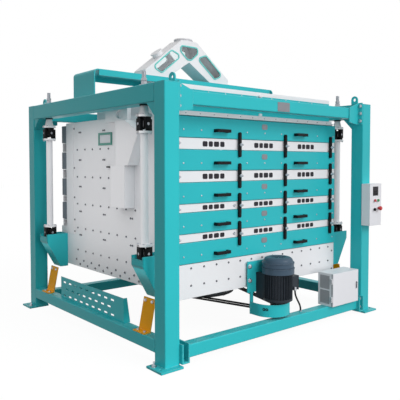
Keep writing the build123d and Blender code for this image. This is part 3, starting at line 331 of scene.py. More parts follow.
def film_group(name, cloud_scale, grain_scale, stretch, rough_spread):
    """A surface film: slow clouds in its colour, and a grain in its gloss and height."""
    group, given, put = new_group(name, FILM_INPUTS, FILM_OUTPUTS)
    place = vector_node(group, "MULTIPLY", given["Vector"], stretch)[0]
    clouds = noise(group, given["Vector"], cloud_scale, 4.0, 0.6)
    grain = noise(group, place, grain_scale, 2.0, 0.5)
    low = math_node(group, "SUBTRACT", 1.0, given["Change"])
    high = math_node(group, "ADD", 1.0, given["Change"])
    fine = spread(group, grain, -0.3, 0.3)
    patch = math_node(group, "ADD", clouds, math_node(group, "MULTIPLY", fine, 0.5))
    group.links.new(tinted(group, given["Colour"], spread(group, patch, low, high)), put["Colour"])
    gloss = spread(group, clouds, -rough_spread, rough_spread)
    group.links.new(math_node(group, "ADD", given["Roughness"], gloss), put["Roughness"])
    group.links.new(math_node(group, "MULTIPLY", grain, given["Depth"]), put["Height"])
    return group


def zone_group():
    """1 inside a box of the object's own coordinates, 0 outside it."""
    inputs = (
        ("Vector", "NodeSocketVector", None),
        ("Low", "NodeSocketVector", (-9.0, -9.0, -9.0)),
        ("High", "NodeSocketVector", (9.0, 9.0, 9.0)),
    )
    group, given, put = new_group("Zone", inputs, [("Mask", "NodeSocketFloat")])
    over = vector_node(group, "SUBTRACT", given["Vector"], given["Low"])[0]
    under = vector_node(group, "SUBTRACT", given["High"], given["Vector"])[0]
    least = vector_node(group, "MINIMUM", over, under)[0]
    parts = group.nodes.new("ShaderNodeSeparateXYZ")
    group.links.new(least, parts.inputs[0])
    smallest = math_node(group, "MINIMUM", parts.outputs[0], parts.outputs[1])
    smallest = math_node(group, "MINIMUM", smallest, parts.outputs[2])
    group.links.new(math_node(group, "GREATER_THAN", smallest, 0.0), put["Mask"])
    return group


def wear_and_highlight_group():
    """Worn paint along the edges, broken up by noise. The lighter edges are partly a painted highlight."""
    inputs = [("Vector", "NodeSocketVector", None), ("Radius", "NodeSocketFloat", 0.004)]
    group, given, put = new_group("Edge wear", inputs, [("Mask", "NodeSocketFloat")])
    soft = group.nodes.new("ShaderNodeBevel")
    soft.samples = EDGE_SAMPLES
    group.links.new(given["Radius"], soft.inputs["Radius"])
    face = group.nodes.new("ShaderNodeNewGeometry")
    turn = vector_node(group, "DOT_PRODUCT", soft.outputs[0], face.outputs["Normal"])["Value"]
    edge = step(group, math_node(group, "SUBTRACT", 1.0, turn), 0.02, 0.16)
    broken = step(group, noise(group, given["Vector"], 38.0, 5.0, 0.65), 0.36, 0.62)
    group.links.new(math_node(group, "MULTIPLY", edge, broken), put["Mask"])
    return group


def dust_group():
    """Fine dust on level faces."""
    group, given, put = new_group(
        "Settled dust", [("Vector", "NodeSocketVector", None)], [("Mask", "NodeSocketFloat")]
    )
    face = group.nodes.new("ShaderNodeNewGeometry")
    parts = group.nodes.new("ShaderNodeSeparateXYZ")
    group.links.new(face.outputs["Normal"], parts.inputs[0])
    level = step(group, parts.outputs[2], 0.55, 0.95)
    cloud = step(group, noise(group, given["Vector"], 6.0, 6.0, 0.65), 0.35, 0.75)
    group.links.new(math_node(group, "MULTIPLY", level, cloud), put["Mask"])
    return group


def make_groups():
    """All shader groups: the films with their cloud scale, grain scale, stretch and change of gloss."""
    film_group("Paint film", 2.3, 420.0, (1.0, 1.0, 1.0), 0.06)
    film_group("Textured paint", 3.0, 900.0, (1.0, 1.0, 1.0), 0.05)
    film_group("Brushed metal", 9.0, 160.0, (1.0, 1.0, 14.0), 0.10)
    film_group("Cast grain", 14.0, 260.0, (1.0, 1.0, 1.0), 0.10)
    film_group("Moulded skin", 11.0, 1100.0, (1.0, 1.0, 1.0), 0.07)
    zone_group()
    wear_and_highlight_group()
    dust_group()


# Finishes: surface group, colour, change of tone, roughness, grain depth in mm, metallic.
# A finish that isn't in MATT_LEVEL reflects as ordinary paint does.
FINISHES = {
    "turquoise": ("Paint film", "turquoise", 0.05, 0.36, 0.05, 0.0),
    "drawer": ("Paint film", "drawer", 0.04, 0.34, 0.04, 0.0),
    "white": ("Paint film", "white", 0.03, 0.38, 0.05, 0.0),
    "pale": ("Textured paint", "pale", 0.025, 0.46, 0.12, 0.0),
    "orange": ("Paint film", "orange", 0.07, 0.40, 0.05, 0.0),
    "shade": ("Paint film", "shade", 0.06, 0.45, 0.05, 0.0),
    "steel": ("Brushed metal", "steel", 0.10, 0.34, 0.04, 0.9),
    "zinc": ("Brushed metal", "zinc", 0.10, 0.28, 0.02, 0.9),
    "blackened_and_shaded": ("Brushed metal", "blackened_and_shaded", 0.12, 0.38, 0.02, 0.5),
    "mesh": ("Textured paint", "mesh", 0.06, 0.50, 0.12, 0.0),
    "iron": ("Cast grain", "iron", 0.16, 0.55, 0.25, 0.4),
    "charcoal": ("Cast grain", "charcoal", 0.14, 0.42, 0.15, 0.0),
    "slate": ("Paint film", "slate", 0.08, 0.36, 0.08, 0.0),
    "black": ("Moulded skin", "black", 0.12, 0.42, 0.06, 0.0),
    "rubber": ("Moulded skin", "rubber", 0.16, 0.58, 0.10, 0.0),
    "red": ("Moulded skin", "red", 0.05, 0.28, 0.02, 0.0),
    "green": ("Moulded skin", "green", 0.05, 0.28, 0.02, 0.0),
    "sight": ("Paint film", "sight", 0.05, 0.38, 0.04, 0.0),
    "pane": ("Moulded skin", "pane", 0.04, 0.30, 0.02, 0.0),
    "gasket": ("Moulded skin", "gasket", 0.06, 0.50, 0.05, 0.0),
    "plate": ("Brushed metal", "plate", 0.06, 0.36, 0.02, 0.6),
    "tile": ("Moulded skin", "tile", 0.14, 0.40, 0.05, 0.0),
}
PAINT_LEVEL = 0.5
MATT_LEVEL = {
    "turquoise": 0.20,
    "drawer": 0.24,
    "orange": 0.12,
    "charcoal": 0.20,
    "slate": 0.30,
    "black": 0.16,
    "rubber": 0.14,
    "tile": 0.16,
}
# Reach of the lightened edges, partly worn paint and partly painted highlight, as a share of the soft edge's
# radius.
WEAR_AND_HIGHLIGHT_REACH = 1.4
DUST_ROUGH = 0.85
GRAIN_STRENGTH = 0.7


def place_group(tree, name, place):
    """A group node fed with the surface coordinates."""
    node = tree.nodes.new("ShaderNodeGroup")
    node.node_tree = bpy.data.node_groups[name]
    tree.links.new(place, node.inputs["Vector"])
    return node


def film(tree, place, name):
    """Colour, roughness, height and metallic value of one finish."""
    group, colour, change, rough, depth, metallic = FINISHES[name]
    node = place_group(tree, group, place)
    node.inputs["Colour"].default_value = (*getattr(colours(), colour), 1.0)
    node.inputs["Change"].default_value = change
    node.inputs["Roughness"].default_value = rough
    node.inputs["Depth"].default_value = depth
    return node.outputs["Colour"], node.outputs["Roughness"], node.outputs["Height"], metallic


def build_material(name, base, zones=(), wear_and_highlight=0.0, dust=0.0):
    """One finish, with other finishes in boxes of the piece, edges lightened as worn paint and as a painted
    highlight, and dust.
    """
    material = bpy.data.materials.new(name)
    material.use_nodes = True
    tree = material.node_tree
    shader = tree.nodes["Principled BSDF"]
    place = tree.nodes.new("ShaderNodeTexCoord").outputs["Object"]
    colour, rough, height, metal = film(tree, place, base)
    used = [base] + [layer for layer, low, high in zones]
    metals = {FINISHES[layer][5] for layer in used}
    level = min(MATT_LEVEL.get(layer, PAINT_LEVEL) for layer in used)
    shader.inputs["Specular IOR Level"].default_value = level
    for layer, low, high in zones:
        box = place_group(tree, "Zone", place)
        box.inputs["Low"].default_value = [part * MM for part in low]
        box.inputs["High"].default_value = [part * MM for part in high]
        mask = box.outputs["Mask"]
        other = film(tree, place, layer)
        colour = mix_colour(tree, mask, colour, other[0])
        rough = mix_value(tree, mask, rough, other[1])
        height = mix_value(tree, mask, height, other[2])
        if len(metals) > 1:
            metal = mix_value(tree, mask, metal, other[3])
    # Lightens the edges toward bare metal. This is partly worn paint and partly a painted highlight on the
    # edges.
    if wear_and_highlight:
        rubbed_and_highlighted = place_group(tree, "Edge wear", place)
        rubbed_and_highlighted.inputs["Radius"].default_value = sizes().edge * WEAR_AND_HIGHLIGHT_REACH
        share = math_node(tree, "MULTIPLY", rubbed_and_highlighted.outputs["Mask"], wear_and_highlight)
        colour = mix_colour(tree, share, colour, (*colours().zinc, 1.0))
    if dust:
        settled = place_group(tree, "Settled dust", place)
        share = math_node(tree, "MULTIPLY", settled.outputs["Mask"], dust)
        colour = mix_colour(tree, share, colour, (*colours().flour, 1.0))
        rough = mix_value(tree, share, rough, DUST_ROUGH)
    tree.links.new(colour, shader.inputs["Base Color"])
    tree.links.new(rough, shader.inputs["Roughness"])
    feed(tree, shader.inputs["Metallic"], metal)
    bump = tree.nodes.new("ShaderNodeBump")
    bump.inputs["Strength"].default_value = GRAIN_STRENGTH
    bump.inputs["Distance"].default_value = MM
    tree.links.new(height, bump.inputs["Height"])
    round_edge = tree.nodes.new("ShaderNodeBevel")
    round_edge.samples = EDGE_SAMPLES
    round_edge.inputs["Radius"].default_value = sizes().edge
    tree.links.new(round_edge.outputs[0], bump.inputs["Normal"])
    tree.links.new(bump.outputs[0], shader.inputs["Normal"])
    return material


def glass_material(name, rough):
    """Clear pane with faint smears."""
    material = bpy.data.materials.new(name)
    material.use_nodes = True
    tree = material.node_tree
    shader = tree.nodes["Principled BSDF"]
    place = tree.nodes.new("ShaderNodeTexCoord").outputs["Object"]
    smear = spread(tree, noise(tree, place, 14.0, 4.0, 0.6), rough, rough + 0.10)
    shader.inputs["Base Color"].default_value = (0.90, 0.95, 0.96, 1.0)
    shader.inputs["Transmission Weight"].default_value = 1.0
    shader.inputs["IOR"].default_value = 1.46
    tree.links.new(smear, shader.inputs["Roughness"])
    return material


EVERYWHERE = 9000.0


def zone_box(x=None, y=None, z=None):
    """Two corners of a box, open along the axes that aren't given, in millimetres."""
    limits = [pair or (-EVERYWHERE, EVERYWHERE) for pair in (x, y, z)]
    return tuple(pair[0] for pair in limits), tuple(pair[1] for pair in limits)


def finish_plan():
    """Each CAD node's finish: base, zones, edge lightening (worn paint and painted highlight) and dust.

    A zone is another finish and the box of the node that has it.
    """
    joint_black = [
        ("rubber", *zone_box(z=(1756.2, 1864.0))),
        ("rubber", *zone_box(z=(700.0, 864.8))),
    ]
    head = [
        ("white", *zone_box(z=(1864.0, 1949.5))),
        ("rubber", *zone_box(z=(1949.5, 1960.0))),
        ("rubber", *zone_box(z=(1700.0, 1864.0))),
    ]
    gasket = [
        ("gasket", *zone_box(y=(100.0, 119.9), z=(2380.0, 2770.0))),
        ("gasket", *zone_box(y=(320.1, 340.0), z=(2380.0, 2770.0))),
    ]
    hood = [("turquoise", *zone_box(y=(-940.0, -926.2), z=(1927.3, 2104.8)))]
    studs = [("zinc", *zone_box(y=(-1000.0, -932.4)))]
    chute = [("sight", *zone_box(x=(-1080.0, -1060.0), y=(-118.0, 120.0), z=(1671.0, 1787.0)))]
    drive = [
        ("slate", *zone_box(z=(542.2, 700.0))),
        ("zinc", *zone_box(x=(140.0, 170.0), y=(-1210.0, -1185.2), z=(371.0, 405.0))),
    ]
    rails = [("zinc", *zone_box(x=(280.0, 315.0), y=(-1160.0, -1125.0), z=(148.2, 162.0)))]
    housing = [("iron", *zone_box(x=(-180.0, 180.0), y=(-180.0, 180.0), z=(260.0, 493.0)))]
    vents = [
        ("mesh", *zone_box(x=(641.0, 643.0), y=(-1207.0, -1096.0), z=span))
        for span in ((169.0, 297.5), (310.5, 439.0))
    ]
    # Painted shade: the grey strip on the door's left edge stands for the shadow of the edge and of the gap
    # beside it.
    door_edge_shade = [("mesh", *zone_box(x=(600.0, 640.4), y=(-1246.0, -1220.0)))]
    screen = [("black", *zone_box(x=(1198.2, 1293.8), y=(-1304.6, -1302.0), z=(1184.2, 1274.8)))]
    # Third number of each entry: how much the edges are lightened, partly as worn paint and partly as a
    # painted highlight.
    plan = {
        "corner_posts": ("turquoise", (), 0.35, 0.05),
        "top_rails": ("turquoise", (), 0.30, 0.10),
        "bottom_rails": ("turquoise", rails, 0.40, 0.12),
        "feed_gantry": ("turquoise", (), 0.30, 0.12),
        "feed_distributor": ("white", gasket, 0.10, 0.06),
        "hanger_heads": ("steel", head, 0.0, 0.0),
        "slotted_guard": ("turquoise", (), 0.35, 0.05),
        "transport_stays": ("orange", (), 0.40, 0.05),
        "cabinet_case": ("pale", vents, 0.15, 0.10),
        "cabinet_door": ("pale", door_edge_shade, 0.15, 0.05),
        "control_box": ("pale", screen, 0.15, 0.05),
        "side_walls": ("white", (), 0.10, 0.05),
        "base_tray": ("white", housing, 0.10, 0.0),
        "top_cover": ("white", hood, 0.15, 0.10),
        "crossbars": ("white", studs, 0.12, 0.0),
        "drawers": ("drawer", (), 0.30, 0.05),
        "drawer_handles": ("black", (), 0.0, 0.0),
        # The back covers get the dark grey of painted shade, which stands for their shadow.
        "back_covers": ("shade", (), 0.20, 0.05),
        "hanger_brackets": ("turquoise", (), 0.30, 0.08),
        "lower_bearing_blocks": ("rubber", (), 0.0, 0.0),
        "side_chute": ("white", chute, 0.10, 0.05),
        "motor_bracket": ("turquoise", (), 0.35, 0.06),
        "motor": ("charcoal", drive, 0.05, 0.05),
        "drive_belts": ("rubber", (), 0.0, 0.05),
        "motor_cable": ("rubber", (), 0.0, 0.0),
        "start_button": ("green", (), 0.0, 0.0),
        "stop_button": ("red", (), 0.0, 0.0),
        "selector_knob": ("black", (), 0.0, 0.0),
        "emergency_stop": ("red", (), 0.0, 0.0),
        "counterweight_wheel": ("iron", (), 0.15, 0.06),
        "motor_pulley": ("iron", (), 0.15, 0.0),
    }
    for corner in CORNERS:
        plan[f"upper_cross_{corner}"] = ("steel", (), 0.0, 0.0)
        plan[f"lower_cross_{corner}"] = ("steel", (), 0.0, 0.0)
        plan[f"hanger_{corner}"] = ("white", joint_black, 0.10, 0.0)
    for row in range(1, 5):
        for column in range(1, 5):
            plan[f"clamp_row{row}_column{column}"] = ("black", (), 0.0, 0.0)
    return plan


def finish(name):
    """A plain material of one finish, made at its first use."""
    label = f"{name}_fitting"
    return bpy.data.materials.get(label) or build_material(label, name)


# Shapes. All lengths that come in are millimetres. LEVEL_GAP is in metres, as the meshes are.

LEVEL_GAP = 1e-6
SMOOTH_ANGLE = 35.0

# Bolt and screw heads: radii as shares of the head's radius, the rest as shares of its width.
# WASHER_LEAST is the thinnest washer, in millimetres.
WASHER_LEAST = 1.2
WASHER_RADIUS, STUD_RADIUS = 1.22, 0.52
WASHER_THICK = 0.10
HEAD_HEIGHT, HEAD_CHAMFER, STUD_CHAMFER = 0.38, 0.07, 0.06
SCREW_HEIGHT, SCREW_DOME = 0.30, 0.20


def upright(place, axis):
    """A matrix that stands a shape's own Z along an axis, at a place."""
    turn = Vector(axis).to_track_quat("Z", "Y").to_matrix().to_4x4()
    return Matrix.Translation(Vector(place) * MM) @ turn


def lift(height):
    """A matrix that raises a shape along its own Z."""
    return Matrix.Translation((0.0, 0.0, height * MM))


def add_round(bm, place, axis, radius, z_low, z_high, sides):
    """A round or many-sided disc on an axis, between two heights above its place."""
    made = bmesh.ops.create_cone(
        bm,
        cap_ends=True,
        segments=sides,
        radius1=radius * MM,
        radius2=radius * MM,
        depth=(z_high - z_low) * MM,
        matrix=upright(place, axis) @ lift((z_low + z_high) / 2),
    )
    return made["verts"]


def edges_of(verts):
    """Edges at a shape's vertices, each of them once and in a steady order."""
    return list(dict.fromkeys(edge for vert in verts for edge in vert.link_edges))


def level_edges(verts, axis, place, height):
    """Edges of a shape that lie at a height above its place."""
    back = upright(place, axis).inverted()
    near = [vert for vert in verts if abs((back @ vert.co).z - height * MM) < LEVEL_GAP]
    level = set(near)
    return [edge for edge in edges_of(near) if level.issuperset(edge.verts)]


def soften(bm, edges, width, segments=2):
    """Round off edges over a width."""
    bmesh.ops.bevel(
        bm,
        geom=edges,
        offset=width * MM,
        offset_type="OFFSET",
        segments=segments,
        profile=0.5,
        affect="EDGES",
        material=-1,
        clamp_overlap=True,
    )


def add_bolt(bm, place, axis, across, stud=0.0):
    """A hex head on its washer, with a stud end where the bolt goes through."""
    radius = across / 2
    washer = max(WASHER_LEAST, across * WASHER_THICK)
    top = washer + across * HEAD_HEIGHT
    add_round(bm, place, axis, radius * WASHER_RADIUS, 0.0, washer, 18)
    head = add_round(bm, place, axis, radius, washer, top, 6)
    soften(bm, level_edges(head, axis, place, top), across * HEAD_CHAMFER, 1)
    if stud:
        tip = top + stud
        end = add_round(bm, place, axis, radius * STUD_RADIUS, top, tip, 12)
        soften(bm, level_edges(end, axis, place, tip), across * STUD_CHAMFER, 1)


def add_screw(bm, place, axis, across):
    """A small domed screw head."""
    top = across * SCREW_HEIGHT
    head = add_round(bm, place, axis, across / 2, 0.0, top, 12)
    soften(bm, level_edges(head, axis, place, top), across * SCREW_DOME, 2)


def add_ring(bm, place, axis, inner, outer, height, steps):
    """A flat raised ring on an axis."""
    stand = upright(place, axis)
    corners = ((inner, 0.0), (inner, height), (outer, height), (outer, 0.0))
    verts = [bm.verts.new(stand @ Vector((radius * MM, 0.0, up * MM))) for radius, up in corners]
    edges = [bm.edges.new(pair) for pair in zip(verts, verts[1:] + verts[:1])]
    bmesh.ops.spin(
        bm,
        geom=verts + edges,
        cent=stand.translation,
        axis=stand.to_3x3() @ Vector((0.0, 0.0, 1.0)),
        angle=math.tau,
        steps=steps,
        use_merge=True,
    )


def add_block(bm, low, high, bevel=0.0, segments=2):
    """A box between two corners, with soft edges."""
    size = [(b - a) * MM for a, b in zip(low, high)]
    middle = [(a + b) / 2 * MM for a, b in zip(low, high)]
    shape = Matrix.Translation(middle) @ Matrix.Diagonal((*size, 1.0))
    verts = bmesh.ops.create_cube(bm, size=1.0, matrix=shape)["verts"]
    if bevel:
        soften(bm, edges_of(verts), bevel, segments)
    return verts


def add_tile(bm, x, z, y_face, width, height, corner, thick):
    """A flat plate with round corners, on a face that looks along -Y."""
    low = (x - width / 2, y_face - thick, z - height / 2)
    verts = add_block(bm, low, (x + width / 2, y_face, z + height / 2))
    depths = {edge: abs((edge.verts[0].co - edge.verts[1].co).y) for edge in edges_of(verts)}
    through = [edge for edge, depth in depths.items() if depth > thick * MM / 2]
    soften(bm, through, corner, 5)


def spaced(start, pitch, count):
    """Places in an even row."""
    return [start + pitch * index for index in range(count)]


def place_piece(name, bm, body, material):
    """Turn a finished shape into a named piece that rides on a body."""
    bmesh.ops.recalc_face_normals(bm, faces=bm.faces)
    mesh = bpy.data.meshes.new(name)
    bm.to_mesh(mesh)
    bm.free()
    mesh.shade_smooth()
    mesh.set_sharp_from_angle(angle=math.radians(SMOOTH_ANGLE))
    mesh.materials.append(material)
    piece = bpy.data.objects.new(name, mesh)
    bpy.context.scene.collection.objects.link(piece)
    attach(piece, body)


class PieceOperator(bpy.types.Operator):
    """Makes one group of pieces."""

    bl_idname = "sieve.piece"
    bl_label = "Piece"
    bl_options = {"REGISTER", "UNDO"}

    def execute(self, context):
        self.make(context)
        return {"FINISHED"}

    def make(self, context):
        raise NotImplementedError("each piece has its own make")


class SIEVE_OT_finishes(PieceOperator):
    """Give every CAD node its paint, metal, rubber or glass"""

    bl_idname = "sieve.finishes"
    bl_label = "Finishes"

    def make(self, context):
        made = {}
        for node, plan in finish_plan().items():
            base, zones, wear_and_highlight, dust = plan
            key = (base, tuple(zones), wear_and_highlight, dust)
            if key not in made:
                made[key] = build_material(f"{node}_finish", base, zones, wear_and_highlight, dust)
            self.dress(node, made[key])
        self.dress("distributor_windows", glass_material("window_pane", 0.02))

    def dress(self, node, material):
        """Put a material on all slots of a CAD node."""
        slots = frame["nodes"][node].material_slots
        if not slots:
            raise RuntimeError(f"{node} has no material slot")
        for slot in slots:
            slot.material = material


class SIEVE_OT_motor_lead(PieceOperator):
    """Make the short lead from the terminal box down to the floor rail"""

    bl_idname = "sieve.motor_lead"
    bl_label = "Motor lead"
    route = (
        (155.0, -1196.0, 372.0),
        (155.0, -1196.0, 348.7),
        (182.2, -1185.7, 306.3),
        (270.8, -1152.3, 221.5),
        (298.0, -1142.0, 181.2),
        (298.0, -1142.0, 160.0),
    )
    length = 0.27

    def make(self, context):
        curve = bpy.data.curves.new("motor_lead", "CURVE")
        curve.dimensions = "3D"
        curve.resolution_u = 16
        curve.bevel_depth = sizes().lead / 2
        curve.bevel_resolution = 5
        curve.use_fill_caps = True
        spline = curve.splines.new("NURBS")
        spline.points.add(len(self.route) - 1)
        for point, place in zip(spline.points, self.route):
            point.co = (*(part * MM for part in place), 1.0)
        spline.order_u = 3
        spline.use_endpoint_u = True
        curve.materials.append(finish("rubber"))
        lead = bpy.data.objects.new("motor_lead", curve)
        context.scene.collection.objects.link(lead)
        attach(lead, "sieve")
        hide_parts("motor_cable")


class SIEVE_OT_frame_bolts(PieceOperator):
    """Bolt the roof beams, floor rails, base plates and stays"""

    bl_idname = "sieve.frame_bolts"
    bl_label = "Frame bolts"
    shoe_x = 1143.0
    beam_y = 1186.0
    beam_rows = (1930.0, 2003.0, 2076.0)
    rail_y = 1205.0
    rail_rows = (62.0, 146.0)
    anchor = (1325.0, 1118.0, 16.0)
    anchor_stud = 22.0
    stay_shift = 46.0
    stay_top = (1184.5, 430.0)
    stay_foot = (1259.0, 208.0)
    stay_lean = (0.98, 0.198)
    rail_share, anchor_share, stay_share = 0.9, 1.1, 0.75

    def make(self, context):
        across = sizes().frame_bolt / MM
        bm = bmesh.new()
        for sx, sy in CORNERS.values():
            inward = (-sx, 0, 0)
            for z in self.beam_rows:
                add_bolt(bm, (sx * self.shoe_x, sy * self.beam_y, z), inward, across)
            for z in self.rail_rows:
                add_bolt(bm, (sx * self.shoe_x, sy * self.rail_y, z), inward, across * self.rail_share)
            x, y, z = self.anchor
            add_bolt(bm, (sx * x, sy * y, z), UP, across * self.anchor_share, self.anchor_stud)
        place_piece("frame_bolts", bm, "frame", finish("zinc"))
        bm = bmesh.new()
        size = across * self.stay_share
        top_x, top_z = self.stay_top
        foot_x, foot_z = self.stay_foot
        lean_x, lean_z = self.stay_lean
        for sx, sy in CORNERS.values():
            for shift in (-self.stay_shift, self.stay_shift):
                y = sy * HANGER_Y + shift
                add_bolt(bm, (sx * top_x, y, top_z), (sx * lean_x, 0.0, lean_z), size)
                add_bolt(bm, (sx * foot_x, y, foot_z), UP, size)
        place_piece("stay_bolts", bm, "frame", finish("zinc"))


class SIEVE_OT_hanger_bolts(PieceOperator):
    """Bolt the joint plates of the hangers and thread the rod ends"""

    bl_idname = "sieve.hanger_bolts"
    bl_label = "Hanger bolts"
    ring = 53.0
    across = 15.0
    tube_top, tube_foot, head_plate = 1738.0, 883.0, 1882.0
    thread_low = 2162.0
    thread_turns = 8
    thread_pitch = 6.0
    thread_steps = 16
    thread_profile = ((15.6, -1.6), (17.3, 0.0), (15.6, 1.6))

    def around(self, x, y):
        """Places of the four bolts round a hanger's axis."""
        for turn in range(4):
            angle = math.radians(45.0 + 90.0 * turn)
            yield x + self.ring * math.cos(angle), y + self.ring * math.sin(angle)

    def make(self, context):
        heads = bmesh.new()
        for corner, (sx, sy) in CORNERS.items():
            x, y = sx * HANGER_X, sy * HANGER_Y
            bm = bmesh.new()
            for bolt_x, bolt_y in self.around(x, y):
                add_bolt(bm, (bolt_x, bolt_y, self.tube_top), DOWN, self.across)
                add_bolt(bm, (bolt_x, bolt_y, self.tube_foot), UP, self.across)
                add_bolt(heads, (bolt_x, bolt_y, self.head_plate), UP, self.across)
            place_piece(f"hanger_bolts_{corner}", bm, f"hanger_{corner}", finish("zinc"))
            self.thread(heads, x, y)
        place_piece("rod_threads", heads, "frame", finish("zinc"))

    def thread(self, bm, x, y):
        """A thread ridge on the rod above its nut, closed at both ends."""
        low = self.thread_low
        verts = [bm.verts.new(((x + r) * MM, y * MM, (low + z) * MM)) for r, z in self.thread_profile]
        edges = [bm.edges.new(pair) for pair in zip(verts, verts[1:] + verts[:1])]
        made = bmesh.ops.spin(
            bm,
            geom=verts + edges,
            cent=(x * MM, y * MM, low * MM),
            axis=UP,
            dvec=(0, 0, self.thread_pitch * MM / self.thread_steps),
            angle=math.tau * self.thread_turns,
            steps=self.thread_steps * self.thread_turns,
        )
        bm.faces.new(verts)
        bm.faces.new([part for part in made["geom_last"] if isinstance(part, bmesh.types.BMVert)])


class SIEVE_OT_wall_bolts(PieceOperator):
    """Rows of sheet bolts on both side walls"""

    bl_idname = "sieve.wall_bolts"
    bl_label = "Wall bolts"
    columns = (548.0, 390.0, 244.0, 97.0, -52.0, -193.0, -342.0, -488.0, -640.0, -790.0)
    rows = (1640.0, 1375.0, 1110.0, 872.0, 652.0)
    pair_columns = (490.0, 30.0, -428.0)
    pair_rows = (1808.0, 1540.0, 1280.0, 1037.0, 805.0)
    pair_shift = 14.0
    edge_column = 612.0
    edge_rows = (1850.0, 1461.0, 1169.0, 947.0, 830.0)
    # Rows along the wall's foot: first place, pitch and height.
    foot_rows = ((505.0, 149.0, 515.0), (580.0, 149.5, 555.0))
    foot_count = 10
    foot_share = 1.1
    # Low and high corner, in Y and Z, of the chute's duct, its funnel and the sight window.
    covers = (
        ((-490.0, 1110.0), (-240.0, 1500.0)),
        ((-700.0, 1480.0), (-325.0, 1880.0)),
        ((-130.0, 1660.0), (130.0, 1800.0)),
    )
    bracket_half = 90.0
    bracket_top = 800.0

    def under_bracket(self, y, z):
        """Whether a hanger bracket covers a place on either wall."""
        return abs(abs(y) - HANGER_Y) < self.bracket_half and z < self.bracket_top

    def under_chute(self, y, z):
        """Whether the chute or the sight window covers a place on the left wall."""
        return any(low[0] < y < high[0] and low[1] < z < high[1] for low, high in self.covers)

    def spots(self, across):
        """Place and size of each bolt on a wall, with none left out."""
        for z in self.rows:
            for y in self.columns:
                yield y, z, across
        for z in self.edge_rows:
            yield self.edge_column, z, across
        for z in self.pair_rows:
            for y in self.pair_columns:
                yield y + self.pair_shift, z, across
                yield y - self.pair_shift, z, across
        for index in range(self.foot_count):
            for first, pitch, z in self.foot_rows:
                yield first - pitch * index, z, across * self.foot_share

    def make(self, context):
        bm = bmesh.new()
        for side in (-1, 1):
            for y, z, size in self.spots(sizes().wall_bolt / MM):
                if self.under_bracket(y, z) or (side < 0 and self.under_chute(y, z)):
                    continue
                add_bolt(bm, (side * WALL_X, y, z), (side, 0, 0), size)
        # The wall bolts' dark steel is partly painted shade round their heads.
        place_piece("wall_bolts", bm, "sieve", finish("blackened_and_shaded"))


class SIEVE_OT_front_bolts(PieceOperator):
    """Bolts on the apron, screws on the drawers, lip and hood"""

    bl_idname = "sieve.front_bolts"
    bl_label = "Front bolts"
    # Even rows: first place, pitch and count.
    apron_row = (-966.0, 138.2, 15)
    lip_row = (-900.0, 150.0, 13)
    hood_row = (-835.0, 191.0, 10)
    apron_top, apron_foot = 655.0, 513.0
    motor_plate_half = 225.0
    apron_end = 1030.0
    apron_end_rows = (610.0, 426.0)
    drawer_columns = (-908.0, -721.0, -197.0, 27.0, 249.0, 779.0, 1030.0)
    drawer_drop = 24.0
    drawer_screw = 15.0
    lip_z, hood_z = 1909.0, 2093.0
    sheet_screw = 12.0

    def make(self, context):
        across = sizes().wall_bolt / MM
        bm = bmesh.new()
        for x in spaced(*self.apron_row):
            add_bolt(bm, (x, APRON_Y, self.apron_top), FRONT, across)
            if abs(x) > self.motor_plate_half:
                add_bolt(bm, (x, APRON_Y, self.apron_foot), FRONT, across)
        for side in (-1, 1):
            for z in self.apron_end_rows:
                add_bolt(bm, (side * self.apron_end, APRON_Y, z), FRONT, across)
        # The apron bolts' dark steel is partly painted shade round their heads.
        place_piece("apron_bolts", bm, "sieve", finish("blackened_and_shaded"))
        bm = bmesh.new()
        for z in DRAWER_Z:
            for x in self.drawer_columns:
                add_screw(bm, (x, DRAWER_Y, z - self.drawer_drop), FRONT, self.drawer_screw)
        for x in spaced(*self.lip_row):
            add_screw(bm, (x, LIP_Y, self.lip_z), FRONT, self.sheet_screw)
        for x in spaced(*self.hood_row):
            add_screw(bm, (x, APRON_Y, self.hood_z), FRONT, self.sheet_screw)
        place_piece("front_screws", bm, "sieve", finish("zinc"))


